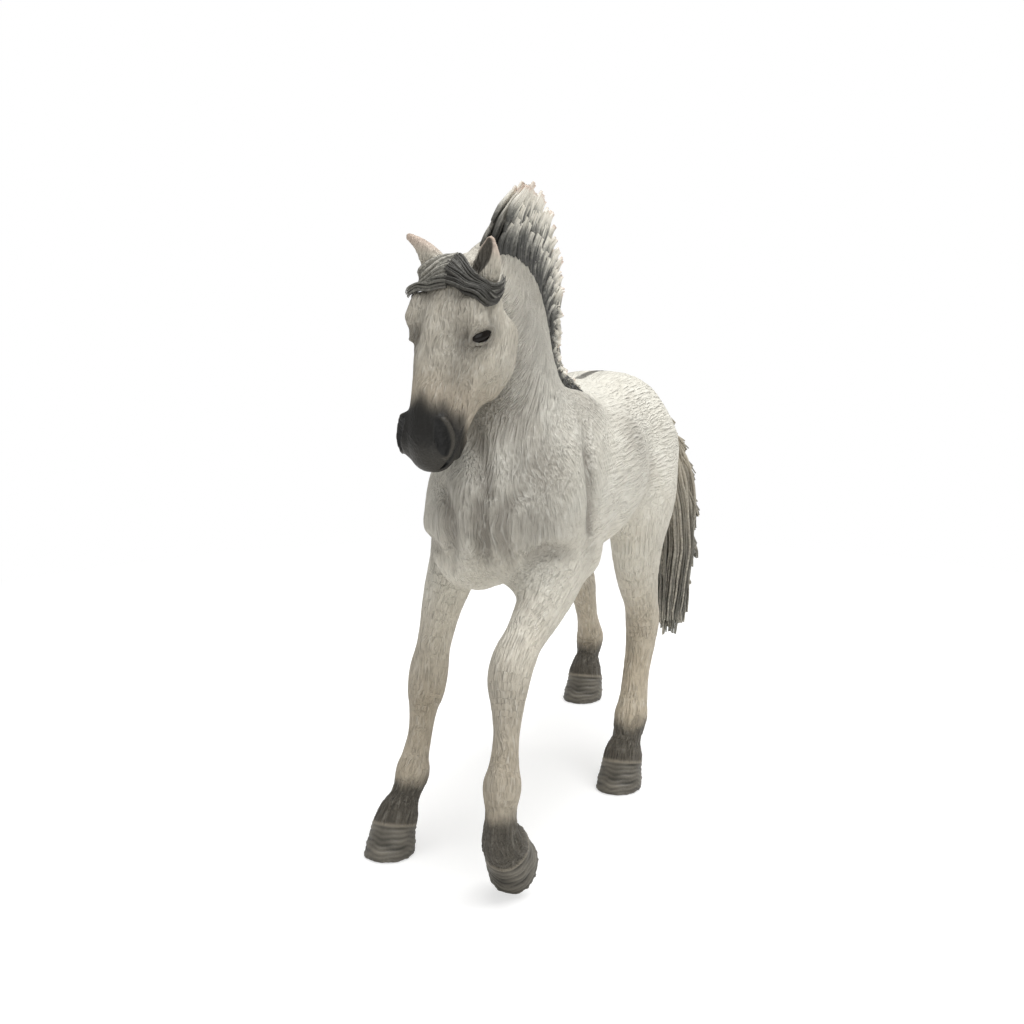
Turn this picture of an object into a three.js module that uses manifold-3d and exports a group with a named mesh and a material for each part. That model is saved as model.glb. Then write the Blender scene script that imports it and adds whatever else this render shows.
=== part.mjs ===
// A solid vinyl toy horse in a prancing walk: the right fore leg and the left hind leg carry it, the
// right hind leg is stretched back and the left fore hoof just touches the ground with its toe.
// Body, neck, head, legs, mane, forelock and tail are separate mouldings, pegged and welded together
// along seams that lie in the creases.
//
// Millimetres. X is forward, Y is the horse's left and Z is up. The soles stand on Z = 0.
//
// Body, neck, head and legs share one skin: a smooth union of limbs. A limb follows a bone or a muscle
// as a row of stations, each with a half-breadth across and a half-depth before and behind. A hollow
// is a limb that is taken away. Every moulding wraps its own stretch of the skin and is cut flat at
// its seams, so that the outlines of two neighbours meet. The hair is made of locks, each a bundle
// that swells from its root and runs out to a point along its own curve.

import * as THREE from "three";
import { mergeVertices } from "three/addons/utils/BufferGeometryUtils.js";
import Module from "manifold-3d";

// Main sizes of the figure. Places on the body are shares of these three.
const bodyLength = 80; // point of the shoulder to the buttock
const bodyWidth = 30; // across the haunches
const withersHeight = 76; // ground to withers

// Girths. Half-breadths and half-depths of the stations are shares of these.
const trunkBreadth = 30;
const trunkDepth = 30;
const muscleBreadth = 12;
const muscleDepth = 16;
const neckBreadth = 20;
const neckDepth = 25;
const furrowWidth = 2;
const forelegBreadth = 8;
const forelegDepth = 12;
const hindlegBreadth = 12;
const hindlegDepth = 20;

// Head. Places and girths on it are shares of these: down the face, across, and out of the face.
const headLength = 33;
const headBreadth = 14;
const headDepth = 18;
const headTurn = THREE.MathUtils.degToRad(16); // to the horse's right
const headDrop = THREE.MathUtils.degToRad(71); // of the face below level
const headTilt = THREE.MathUtils.degToRad(0.5); // left side down

// Radii with which a limb runs into the ones before it
const neckBlend = 5;
const muscleBlend = 3.2;
const limbBlend = 3;
const furrowBlend = 2;
const skullBlend = 3;
const cheekBlend = 1.8;
const lipBlend = 1;

// Hooves
const hoofWidth = 8.6; // across the sole
const hoofLength = 9.6; // toe to heel
const hoofHeight = 6; // ground to the coronet at the toe
const ridgeHeight = 0.16; // how far a growth ring stands out
const ridgeCount = 4;
const hoofSides = 18;
const toeFlex = THREE.MathUtils.degToRad(62); // how far the raised hoof is folded back

// Hair
const maneLockThickness = 2.3;
const maneLocks = 10; // in each of the two rows
const maneRowGap = 1.5; // from the middle to the tips of each row, and half the sheet's thickness
const maneRoot = 2.8; // breadth of the root that carries the locks
const maneCurl = 0.6; // how far a lock bows forward of its straight line
const tailWidth = 7.6; // across the bundle at its fullest
const tailLockWidth = 3.6;
const tailWave = 0.7; // swing of a tail lock to each side of its line
const lockSides = 5;
const rootRings = 12;
const maneRings = 4;
const forelockRings = 4;
const tailRings = 10;

// Seams between the mouldings
const seamClearance = 0.3; // gap between two mouldings that meet
const seamFillet = 1.2; // how far a leg takes the skin round its own limb with it
const pegRadius = 1.9;
const pegLength = 4.5;
const neckPegRadius = 3.2;
const dockRadius = 2.1; // root of the tail
const pegSides = 16;
const overrun = 60; // how far a cutting block reaches past the skin

// Size of the skin's facets on each moulding
const trunkFacet = 3.3;
const neckFacet = 2.6;
const legFacet = 2.25;
const headFacet = 1.55;
const hairFacet = 2; // of the skin that the mane is cut to
const ovalSides = 12;
const ovalRings = 8;
const rimFacets = 2; // empty facets round the wrapped box
const seamFacets = 1.3; // facets wrapped beyond a seam before it is cut
const pinchFill = 0.016; // depth given to a grid corner that is taken in to open a pinched edge

// Each station: place along, across and up the body, then half-breadth and half-depth.
// Barrel from the buttocks to the breast.
const trunkShares = [
  [-0.4437, 0.0167, 0.8092, 0.2167, 0.2833],
  [-0.375, 0.0167, 0.8158, 0.38, 0.41],
  [-0.2625, 0.0167, 0.8158, 0.42, 0.46],
  [-0.15, 0.0167, 0.8053, 0.4333, 0.4733],
  [-0.0375, 0.0167, 0.7895, 0.52, 0.5],
  [0.075, 0.0167, 0.7829, 0.5067, 0.5133],
  [0.2, 0.0167, 0.7789, 0.4533, 0.5],
  [0.3125, 0.0167, 0.7711, 0.38, 0.4467],
  [0.4063, 0.0167, 0.7658, 0.2733, 0.3267],
];
// Ridge of the withers.
const withersShares = [
  [-0.075, 0.0167, 0.9013, 0.4167, 0.4063],
  [0.05, 0.0167, 0.9211, 0.375, 0.4375],
  [0.15, 0.0133, 0.9342, 0.375, 0.4375],
];
// Muscle over the croup.
const croupShares = [
  [-0.1625, 0.1733, 0.8737, 0.5, 0.45],
  [-0.275, 0.1867, 0.8684, 0.5333, 0.525],
  [-0.3875, 0.1667, 0.8316, 0.5167, 0.5],
  [-0.4437, 0.1467, 0.7842, 0.4333, 0.4375],
];
// Shoulder blade from the withers down to the point of the shoulder.
const shoulderShares = [
  [0.075, 0.2333, 0.9211, 0.2917, 0.375],
  [0.1875, 0.3067, 0.8421, 0.3667, 0.4688],
  [0.3, 0.3267, 0.7632, 0.3833, 0.4688],
  [0.3688, 0.3, 0.7171, 0.3667, 0.3875],
];
// Muscle above the elbow.
const upperArmShares = [
  [0.175, 0.36, 0.75, 0.3167, 0.4063],
  [0.25, 0.3667, 0.6645, 0.3333, 0.4],
];
// Breast muscle, beside the furrow.
const breastShares = [
  [0.4, 0.1667, 0.7566, 0.3833, 0.3375],
  [0.375, 0.2, 0.6645, 0.4167, 0.35],
  [0.3125, 0.2, 0.6158, 0.375, 0.25],
];
// Furrow between the breast muscles.
const breastFurrowShares = [
  [0.51, 0.0533, 0.8158, 0.5, 0.5],
  [0.49, 0.0533, 0.7368, 0.5, 0.5],
  [0.46, 0.04, 0.6579, 0.5, 0.5],
];
// Neck from its base to the throat.
const neckShares = [
  [0.275, 0.0167, 0.8158, 0.575, 0.52],
  [0.26, 0.01, 0.9211, 0.45, 0.48],
  [0.2525, -0.0067, 1.0263, 0.34, 0.416],
  [0.275, -0.0333, 1.1316, 0.27, 0.352],
  [0.325, -0.08, 1.2211, 0.255, 0.288],
  [0.3875, -0.12, 1.2526, 0.22, 0.192],
];
// Ridge along the top of the neck.
const neckCrestShares = [
  [0.15, 0.0133, 1.0066, 0.15, 0.12],
  [0.145, 0.01, 1.1053, 0.13, 0.12],
  [0.1725, 0, 1.1974, 0.12, 0.12],
  [0.2325, -0.0267, 1.2711, 0.12, 0.12],
  [0.3188, -0.08, 1.3026, 0.12, 0.12],
];
// Left fore leg, raised: elbow, forearm, knee, cannon, fetlock, pastern.
const leftForelegShares = [
  [0.2563, 0.3067, 0.6645, 0.575, 0.5833],
  [0.3313, 0.31, 0.6105, 0.5625, 0.5],
  [0.4063, 0.3067, 0.5632, 0.475, 0.4083],
  [0.4813, 0.2933, 0.5158, 0.3875, 0.3167],
  [0.5325, 0.2867, 0.4842, 0.4375, 0.2917],
  [0.5638, 0.2867, 0.4447, 0.425, 0.275],
  [0.5813, 0.3, 0.3947, 0.325, 0.2333],
  [0.6025, 0.3133, 0.3355, 0.25, 0.1917],
  [0.6238, 0.3233, 0.2763, 0.3, 0.2333],
  [0.6375, 0.3267, 0.2395, 0.375, 0.275],
  [0.6525, 0.3367, 0.1921, 0.3, 0.2167],
  [0.6575, 0.34, 0.1526, 0.35, 0.25],
  [0.645, 0.3433, 0.1224, 0.425, 0.3],
  [0.635, 0.3467, 0.1158, 0.45, 0.3167],
];
// Right fore leg, standing.
const rightForelegShares = [
  [0.2313, -0.3267, 0.6711, 0.575, 0.5833],
  [0.255, -0.3867, 0.5855, 0.5, 0.4917],
  [0.28, -0.4267, 0.5066, 0.4, 0.3917],
  [0.305, -0.4467, 0.4276, 0.35, 0.3],
  [0.325, -0.4567, 0.3711, 0.4125, 0.3],
  [0.3375, -0.46, 0.3289, 0.4, 0.2917],
  [0.3563, -0.4567, 0.2934, 0.3125, 0.2333],
  [0.3875, -0.44, 0.2434, 0.25, 0.1917],
  [0.4225, -0.43, 0.1974, 0.275, 0.225],
  [0.4413, -0.4267, 0.1658, 0.35, 0.2667],
  [0.4625, -0.4433, 0.1211, 0.3, 0.2167],
  [0.485, -0.4633, 0.0816, 0.4125, 0.2833],
  [0.495, -0.4733, 0.0605, 0.45, 0.3083],
];
// Left hind leg: thigh, stifle, gaskin, hock, cannon, fetlock, pastern.
const leftHindLegShares = [
  [-0.3437, 0.2733, 0.8026, 0.5667, 0.55],
  [-0.2625, 0.34, 0.7039, 0.5167, 0.5],
  [-0.195, 0.3667, 0.6118, 0.4167, 0.39],
  [-0.2062, 0.36, 0.5066, 0.3333, 0.27],
  [-0.245, 0.3567, 0.4211, 0.2667, 0.195],
  [-0.2625, 0.3533, 0.3658, 0.2667, 0.205],
  [-0.24, 0.36, 0.3105, 0.2333, 0.155],
  [-0.19, 0.3733, 0.2447, 0.2083, 0.125],
  [-0.1375, 0.4, 0.1895, 0.225, 0.15],
  [-0.1125, 0.4067, 0.1579, 0.2583, 0.17],
  [-0.0825, 0.4067, 0.1132, 0.2167, 0.14],
  [-0.0613, 0.4033, 0.0789, 0.2833, 0.175],
  [-0.0525, 0.4033, 0.0592, 0.3083, 0.185],
];
// Right hind leg, stretched back.
const rightHindLegShares = [
  [-0.35, -0.2533, 0.7961, 0.5667, 0.55],
  [-0.35, -0.3267, 0.6776, 0.5167, 0.52],
  [-0.385, -0.3633, 0.5724, 0.4167, 0.385],
  [-0.475, -0.3667, 0.4737, 0.3167, 0.255],
  [-0.5525, -0.3667, 0.4053, 0.2417, 0.19],
  [-0.595, -0.37, 0.3632, 0.2417, 0.2],
  [-0.6375, -0.3833, 0.3105, 0.2083, 0.15],
  [-0.6925, -0.41, 0.2395, 0.1833, 0.12],
  [-0.7375, -0.4333, 0.1816, 0.2167, 0.15],
  [-0.7475, -0.4367, 0.1553, 0.2417, 0.165],
  [-0.72, -0.43, 0.1105, 0.2, 0.135],
  [-0.6925, -0.42, 0.0776, 0.275, 0.17],
  [-0.6825, -0.4167, 0.0592, 0.3, 0.185],
];

// The same on the head: down the face, to its left and out of the face, from the poll.
// Skull from behind the ears to the lips.
const skullShares = [
  [0.103, 0, -0.3778, 0.3857, 0.2889],
  [0.2242, 0, -0.3778, 0.5, 0.3444],
  [0.3636, 0, -0.4, 0.4929, 0.3778],
  [0.5303, 0, -0.3667, 0.4071, 0.3167],
  [0.6848, 0.0071, -0.3222, 0.3286, 0.2667],
  [0.8182, 0.0143, -0.3222, 0.3214, 0.2556],
  [0.8939, 0.0143, -0.35, 0.2786, 0.2],
];
// Bone over the eye.
const browShares = [
  [0.2303, 0.3714, -0.1556, 0.1643, 0.1056],
  [0.3333, 0.4429, -0.1889, 0.1429, 0.1056],
];
// Round of the jaw.
const jowlShares = [
  [0.2545, 0.2857, -0.6389, 0.2, 0.2556],
  [0.4091, 0.3, -0.6222, 0.2143, 0.2889],
  [0.5303, 0.2571, -0.5889, 0.1714, 0.2333],
];
// Lower jaw.
const jawShares = [
  [0.5455, 0.1643, -0.6, 0.1429, 0.1333],
  [0.7576, 0.1071, -0.5111, 0.1286, 0.0944],
];
// Ridge below the eye.
const facialCrestShares = [
  [0.3939, 0.4357, -0.3333, 0.0786, 0.0722],
  [0.5909, 0.3929, -0.3111, 0.0643, 0.0611],
];
// Flare of the nostril.
const nostrilRimShares = [
  [0.7818, 0.25, -0.1833, 0.1, 0.1],
  [0.8485, 0.2571, -0.2278, 0.1143, 0.1222],
  [0.897, 0.2143, -0.2889, 0.1, 0.1],
];
// Lower lip and chin.
const lowerLipShares = [
  [0.8061, 0.0071, -0.5222, 0.1857, 0.1056],
  [0.8848, 0.0071, -0.5167, 0.1929, 0.0944],
];
// Left ear, pricked.
const leftEarShares = [
  [0.0606, 0.3, -0.3056, 0.1429, 0.1056],
  [-0.0061, 0.3429, -0.2611, 0.1714, 0.1056],
  [-0.0697, 0.3857, -0.2056, 0.1286, 0.0722],
  [-0.1242, 0.4143, -0.1611, 0.0571, 0.0389],
];
// Right ear, turned out.
const rightEarShares = [
  [0.0424, -0.3143, -0.2833, 0.1429, 0.1056],
  [-0.0152, -0.4214, -0.2167, 0.1714, 0.1056],
  [-0.0697, -0.5357, -0.1278, 0.1286, 0.0722],
  [-0.1091, -0.65, -0.05, 0.0571, 0.0389],
];

// Rounds of the eyes and hollows of the nostrils and ears, on the same head.
const leftEyeShares = { place: [0.3455, 0.4786, -0.2889], radii: [0.0667, 0.1071, 0.0889] };
const leftNostrilShares = { place: [0.8545, 0.3929, -0.2], radii: [0.0394, 0.0714, 0.1] };
const leftEarHollowShares = { place: [-0.0333, 0.3786, -0.1167], radii: [0.0667, 0.0929, 0.0778] };
const rightEarHollowShares = { place: [-0.0333, -0.4714, -0.05], radii: [0.0576, 0.1357, 0.0778] };

// Where the head's poll stands on the body.
const pollShares = [0.475, -0.16, 1.3053];

// Seams: a place on the seam and the direction from the body to the piece that is pegged on.
const neckSeam = { shares: [0.275, 0.01, 0.9053], facing: [0.504, 0, 0.864] };
const leftForelegSeam = { shares: [0.3938, 0.3067, 0.5711], facing: [0.7, 0.1, -0.7] };
const rightForelegSeam = { shares: [0.26, -0.3867, 0.5658], facing: [0.31, -0.16, -0.94] };
const leftHindLegSeam = { shares: [-0.1975, 0.3667, 0.5658], facing: [-0.15, 0, -0.99] };
const rightHindLegSeam = { shares: [-0.4, -0.3633, 0.55], facing: [-0.6, 0, -0.8] };
const tailSeam = { shares: [-0.475, 0.0333, 0.8882], facing: [-0.86, 0.5, -0.1] };
const headSeam = { shares: [0.1818, 0, -0.8111], facing: [0.409, 0, 0.913] };

// Middle of each standing sole, and of the raised hoof's upper edge.
const rightForeSoleShares = [0.52, -0.48];
const leftHindSoleShares = [-0.03, 0.4];
const rightHindSoleShares = [-0.6562, -0.41];
const raisedHoofShares = [0.635, 0.3467, 0.1105];

// Lines that the hair follows: the crest that carries the mane, the edge that its tips make, and the tail.
const crestShares = [
  [0.3375, -0.06, 1.3184],
  [0.2625, -0.0267, 1.3053],
  [0.195, -0.0067, 1.2579],
  [0.1475, 0.0067, 1.1842],
  [0.125, 0.0133, 1.1053],
  [0.11, 0.04, 1.0342],
  [0.08, 0.12, 0.9921],
];
const maneTipShares = [
  [0.3313, 0.1, 1.4474],
  [0.2563, 0.08, 1.4526],
  [0.1625, 0.0733, 1.4079],
  [0.1075, 0.0867, 1.3092],
  [0.0975, 0.0933, 1.1908],
  [0.0925, 0.08, 1.0658],
  [0.0425, 0.22, 0.9632],
];
const tailShares = [
  [-0.4675, 0.0233, 0.8895],
  [-0.5162, 0.1, 0.8789],
  [-0.56, 0.22, 0.8026],
  [-0.5725, 0.3067, 0.7039],
  [-0.575, 0.3533, 0.5658],
  [-0.57, 0.3333, 0.4079],
  [-0.5575, 0.32, 0.2421],
];
const forelockRightShares = [
  [-0.0242, 0.0429, -0.0333],
  [0.0212, -0.2143, 0.0167],
  [0.0818, -0.4286, -0.0611],
  [0.1364, -0.55, -0.1944],
];
const forelockLeftShares = [
  [-0.0242, -0.0286, -0.0333],
  [0.0455, 0.1786, 0.0222],
  [0.1424, 0.3857, -0.0333],
  [0.1758, 0.5286, -0.1778],
  [0.1667, 0.5714, -0.2944],
];
const rootSwellShares = [1, 1];
const lockSwellShares = [0.9, 1.05, 0.72]; // girth of a lock from its root to its point
const lockReachShares = [1, 0.9, 0.97, 0.86, 1.03, 0.92, 0.99]; // how long the locks are, in turn
const maneLockFillShare = 1.1; // breadth of a mane lock as a share of its room along the crest
const forelockWidthShare = 0.155; // breadth of a forelock lock as a share of the head's depth
const forelockSpreadShare = 0.039; // step between the locks of one fan as a share of the head's length
const maneSheetShares = [-0.1, 0.7]; // foot and top of the mane's sheet as shares of the locks' length
const forelockSheetShare = 0.85; // length of the forelock's sheets as a share of the locks' length
const tailSwellShares = [0.9, 0.95, 0.95, 1, 1.04, 1, 1.04, 0.96, 0.8];
const tailSpreadShares = [0.6, 0.8, 0.95, 1, 1, 0.85, 0.6]; // how far the locks stand from the tail's line

const wasm = await Module();
wasm.setup();

const acrossBody = new THREE.Vector3(0, 1, 0);
const upright = new THREE.Vector3(0, 0, 1);

// PLACES

function bodyPlace([along, across, up]) {
  return new THREE.Vector3(along * bodyLength, across * bodyWidth, up * withersHeight);
}

const headFrame = new THREE.Matrix4()
  .makeRotationFromEuler(new THREE.Euler(-headTilt, headDrop, -headTurn, "ZYX"))
  .setPosition(bodyPlace(pollShares));
const acrossHead = new THREE.Vector3().setFromMatrixColumn(headFrame, 1);

function headPlace([down, across, out]) {
  return new THREE.Vector3(down * headLength, across * headBreadth, out * headDepth).applyMatrix4(headFrame);
}

// THE SKIN

const spansPerStation = 4;
const smoothCurve = "catmullrom";
const tension = 0.5;

function curveThrough(points) {
  return new THREE.CatmullRomCurve3(points, false, smoothCurve, tension);
}

// A limb through its stations. Only the first spans are kept where the rest belongs to another moulding.
function limb(
  rows,
  { place = bodyPlace, side = acrossBody, breadth, depth, blend, hollow = false, keep = rows.length - 1 },
) {
  const centres = curveThrough(rows.map((row) => place(row)));
  const girths = curveThrough(rows.map((row) => new THREE.Vector3(row[3] * breadth, row[4] * depth, 0)));
  const steps = (rows.length - 1) * spansPerStation;
  const spans = [];
  const bounds = new THREE.Box3();
  for (let step = 0; step < keep * spansPerStation; step++) {
    const from = centres.getPoint(step / steps);
    const to = centres.getPoint((step + 1) / steps);
    const axis = to.clone().sub(from);
    const length = axis.length();
    axis.divideScalar(length);
    const across = side.clone().addScaledVector(axis, -side.dot(axis)).normalize();
    const girth = girths.getPoint(step / steps);
    const girthEnd = girths.getPoint((step + 1) / steps);
    spans.push({ from, axis, length, across, before: axis.clone().cross(across), girth, girthEnd });
    const reach = Math.max(girth.x, girth.y, girthEnd.x, girthEnd.y);
    bounds.union(new THREE.Box3().setFromPoints([from, to]).expandByScalar(reach));
  }
  return { spans, blend, hollow, bounds };
}

// The same limb on the other side of the body or head, whose middle plane is given.
function mirrored(rows, middleShare = 0) {
  return rows.map(([along, across, up, breadth, depth]) => [along, middleShare - across, up, breadth, depth]);
}

const offset = new THREE.Vector3();

// Distance from a point to one span: a tapering capsule with an oval section.
function spanDistance(point, { from, axis, length, across, before, girth, girthEnd }) {
  offset.copy(point).sub(from);
  const share = THREE.MathUtils.clamp(offset.dot(axis) / length, 0, 1);
  offset.addScaledVector(axis, -share * length);
  const halfBreadth = THREE.MathUtils.lerp(girth.x, girthEnd.x, share);
  const halfDepth = THREE.MathUtils.lerp(girth.y, girthEnd.y, share);
  const cap = Math.min(halfBreadth, halfDepth);
  const reach = Math.hypot(offset.dot(across) / halfBreadth, offset.dot(before) / halfDepth, offset.dot(axis) / cap);
  return reach === 0 ? -cap : offset.length() * (1 - 1 / reach);
}

function limbDistance(point, { spans }) {
  let nearest = Infinity;
  for (const span of spans) {
    nearest = Math.min(nearest, spanDistance(point, span));
  }
  return nearest;
}

// Distance to the skin, negative inside. Limbs join in their order; a hollow is cut from those before it.
function skinDistance(point, limbs) {
  let skin = Infinity;
  for (const piece of limbs) {
    const far = piece.bounds.distanceToPoint(point);
    if (piece.hollow ? far > piece.blend : far > skin + piece.blend) {
      continue;
    }
    const limbSide = piece.hollow ? -1 : 1;
    const own = limbSide * limbDistance(point, piece);
    const overlap = Math.max(piece.blend - Math.abs(skin - own), 0) / Math.max(piece.blend, Number.EPSILON);
    const fillet = skin === Infinity ? 0 : (overlap * overlap * piece.blend) / 4;
    skin = limbSide * Math.min(limbSide * skin, limbSide * own) - limbSide * fillet;
  }
  return skin;
}

// WRAPPING THE SKIN

const corners = [0, 1, 2, 3, 4, 5, 6, 7].map(
  (corner) => new THREE.Vector3(corner & 1, (corner >> 1) & 1, corner >> 2),
);
const cellEdges = [
  [0, 1], [2, 3], [4, 5], [6, 7], [0, 2], [1, 3], [4, 6], [5, 7], [0, 4], [1, 5], [2, 6], [3, 7],
];

// A closed net of facets over the limbs, inside the given box and a little past the given seams.
function wrap(limbs, seams, box, facet, grown = 0) {
  const distance = (point) => {
    let value = skinDistance(point, limbs) - grown;
    for (const { place, facing, side } of seams) {
      value = Math.max(value, side * offset.copy(point).sub(place).dot(facing) - facet * seamFacets);
    }
    return value;
  };
  const low = box.min.clone().subScalar(facet * rimFacets);
  const counts = box.max.clone().sub(low).divideScalar(facet).addScalar(3).floor();
  const index = (i, j, k) => (k * counts.y + j) * counts.x + i;
  const values = new Float32Array(counts.x * counts.y * counts.z);
  const point = new THREE.Vector3();
  const gridPoint = (i, j, k) => point.set(i, j, k).multiplyScalar(facet).add(low);
  for (let k = 0; k < counts.z; k++) {
    for (let j = 0; j < counts.y; j++) {
      for (let i = 0; i < counts.x; i++) {
        const onFirst = i === 0 || j === 0 || k === 0;
        const onRim = onFirst || i === counts.x - 1 || j === counts.y - 1 || k === counts.z - 1;
        values[index(i, j, k)] = onRim ? facet : distance(gridPoint(i, j, k));
      }
    }
  }
  fillDiagonals(counts, index, values);
  const vertexOf = new Map();
  const positions = [];
  for (let k = 0; k < counts.z - 1; k++) {
    for (let j = 0; j < counts.y - 1; j++) {
      for (let i = 0; i < counts.x - 1; i++) {
        const vertex = cellVertex(i, j, k, values, index);
        if (vertex) {
          vertex.multiplyScalar(facet).add(low);
          drawOntoSkin(vertex, distance, facet);
          vertexOf.set(index(i, j, k), positions.length / 3);
          positions.push(vertex.x, vertex.y, vertex.z);
        }
      }
    }
  }
  return shell(positions, netFacets(counts, index, values, vertexOf));
}

// Where only two opposite corners of a grid square lie inside, the nearer of the others is taken in
// too, so that the net never pinches to a shared edge.
function fillDiagonals(counts, index, values) {
  const steps = [index(1, 0, 0), index(0, 1, 0), index(0, 0, 1)];
  const last = values.length - steps[0] - steps[1] - steps[2];
  let found = true;
  while (found) {
    found = false;
    for (let here = 0; here < last; here++) {
      for (const [a, b] of [[0, 1], [1, 2], [0, 2]]) {
        const square = [here, here + steps[a], here + steps[a] + steps[b], here + steps[b]];
        const inside = square.map((corner) => values[corner] < 0);
        if (inside[0] === inside[2] && inside[1] === inside[3] && inside[0] !== inside[1]) {
          const outside = square.filter((corner) => values[corner] >= 0);
          const nearer = values[outside[0]] < values[outside[1]] ? outside[0] : outside[1];
          values[nearer] = -pinchFill;
          found = true;
        }
      }
    }
  }
}

// The middle of the points where the skin crosses the edges of one grid cell.
function cellVertex(i, j, k, values, index) {
  const at = corners.map(({ x, y, z }) => values[index(i + x, j + y, k + z)]);
  const inside = at.filter((value) => value < 0).length;
  if (inside === 0 || inside === corners.length) {
    return null;
  }
  const middle = new THREE.Vector3();
  let crossings = 0;
  for (const [a, b] of cellEdges) {
    if (at[a] < 0 !== at[b] < 0) {
      middle.add(corners[a].clone().lerp(corners[b], at[a] / (at[a] - at[b])));
      crossings++;
    }
  }
  return middle.divideScalar(crossings).add(new THREE.Vector3(i, j, k));
}

const probes = [new THREE.Vector3(1, 0, 0), acrossBody, upright];
const slope = new THREE.Vector3();
const probe = new THREE.Vector3();
const probeShare = 0.04; // step with which the slope is felt, as a share of a facet
const flattestSlope = 0.5; // the step onto the skin is kept short where the distance is flat

// Moves a vertex along the slope of the distance until it lies on the skin.
function drawOntoSkin(vertex, distance, facet) {
  const probeStep = facet * probeShare;
  for (let pass = 0; pass < 2; pass++) {
    const here = distance(vertex);
    if (Math.abs(here) > facet) {
      return;
    }
    const ahead = (axis) => distance(probe.copy(vertex).addScaledVector(axis, probeStep));
    slope.fromArray(probes.map((axis) => (ahead(axis) - here) / probeStep));
    vertex.addScaledVector(slope, -here / Math.max(slope.lengthSq(), flattestSlope));
  }
}

// Two triangles across every grid edge that the skin crosses.
function netFacets(counts, index, values, vertexOf) {
  const facets = [];
  const ring = [[0, -1, -1], [0, 0, -1], [0, 0, 0], [0, -1, 0]];
  for (let k = 0; k < counts.z - 1; k++) {
    for (let j = 0; j < counts.y - 1; j++) {
      for (let i = 0; i < counts.x - 1; i++) {
        const inside = values[index(i, j, k)] < 0;
        const next = [index(i + 1, j, k), index(i, j + 1, k), index(i, j, k + 1)];
        next.forEach((neighbour, turn) => {
          if (inside === values[neighbour] < 0) {
            return;
          }
          const [a, b, c, d] = ring.map((cell) => {
            const [di, dj, dk] = [0, 1, 2].map((axis) => cell[(axis - turn + 3) % 3]);
            return vertexOf.get(index(i + di, j + dj, k + dk));
          });
          facets.push(...(inside ? [a, b, c, a, c, d] : [a, c, b, a, d, c]));
        });
      }
    }
  }
  return facets;
}

// JOINING AND CUTTING

function shell(positions, facets) {
  return new wasm.Manifold(
    new wasm.Mesh({ numProp: 3, vertProperties: new Float32Array(positions), triVerts: new Uint32Array(facets) }),
  );
}

function solid(geometry) {
  geometry.deleteAttribute("normal");
  geometry.deleteAttribute("uv");
  const welded = mergeVertices(geometry);
  return shell(welded.attributes.position.array, welded.index.array);
}

// The largest shell of a body. Pockets shut in between locks, and crumbs that a cut leaves, are dropped.
function mainShell(body) {
  return body.decompose().reduce((largest, next) => (next.volume() > largest.volume() ? next : largest));
}

function mesh(name, body, material) {
  const { vertProperties, triVerts } = mainShell(body).getMesh();
  const geometry = new THREE.BufferGeometry();
  geometry.setAttribute("position", new THREE.BufferAttribute(new Float32Array(vertProperties), 3));
  geometry.setIndex(new THREE.BufferAttribute(new Uint32Array(triVerts), 1));
  geometry.computeVertexNormals();
  const piece = new THREE.Mesh(geometry, material);
  piece.name = name;
  return piece;
}

function union(bodies) {
  return bodies.reduce((joined, body) => joined.add(body));
}

function seam(shares, facing, place = bodyPlace, frame = new THREE.Matrix4()) {
  return { place: place(shares), facing: new THREE.Vector3(...facing).transformDirection(frame) };
}

// A block with one face on the seam, shifted by the given distance, filling the side that it looks to.
function seamBlock({ place, facing }, side, shift) {
  const geometry = new THREE.BoxGeometry(2 * overrun, 2 * overrun, overrun);
  geometry.translate(0, 0, side * (overrun / 2) + shift);
  geometry.applyQuaternion(new THREE.Quaternion().setFromUnitVectors(upright, facing));
  geometry.translate(place.x, place.y, place.z);
  return solid(geometry);
}

const halfGap = seamClearance / 2;
const keepRoot = (body, join) => body.subtract(seamBlock(join, 1, -halfGap));
const keepTip = (body, join, shift = halfGap) => body.subtract(seamBlock(join, -1, shift));

// A round peg that stands back from the seam, or its socket when it is grown by the clearance.
function peg({ place, facing }, radius, grown = 0) {
  const length = 2 * pegLength + grown;
  const geometry = new THREE.CylinderGeometry(radius + grown, radius + grown, length, pegSides);
  geometry.translate(0, -grown / 2, 0);
  geometry.applyQuaternion(new THREE.Quaternion().setFromUnitVectors(acrossBody, facing));
  geometry.translate(place.x, place.y, place.z);
  return solid(geometry);
}

// PIECES OF THE SKIN

const girth = {
  trunk: { breadth: trunkBreadth, depth: trunkDepth, blend: 0 },
  muscle: { breadth: muscleBreadth, depth: muscleDepth, blend: muscleBlend },
  furrow: { breadth: furrowWidth, depth: furrowWidth, blend: furrowBlend, hollow: true },
  neck: { breadth: neckBreadth, depth: neckDepth, blend: neckBlend },
  crest: { breadth: neckBreadth, depth: neckDepth, blend: muscleBlend },
  foreleg: { breadth: forelegBreadth, depth: forelegDepth, blend: limbBlend },
  hindleg: { breadth: hindlegBreadth, depth: hindlegDepth, blend: limbBlend },
  skull: { place: headPlace, side: acrossHead, breadth: headBreadth, depth: headDepth, blend: skullBlend },
};
girth.cheek = { ...girth.skull, blend: cheekBlend };
girth.lip = { ...girth.skull, blend: lipBlend };

const bodyMiddleShare = 0.0333; // the spine lies a little to the left of the middle
const pair = (rows, kind, middleShare) => [limb(rows, kind), limb(mirrored(rows, middleShare), kind)];

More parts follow.
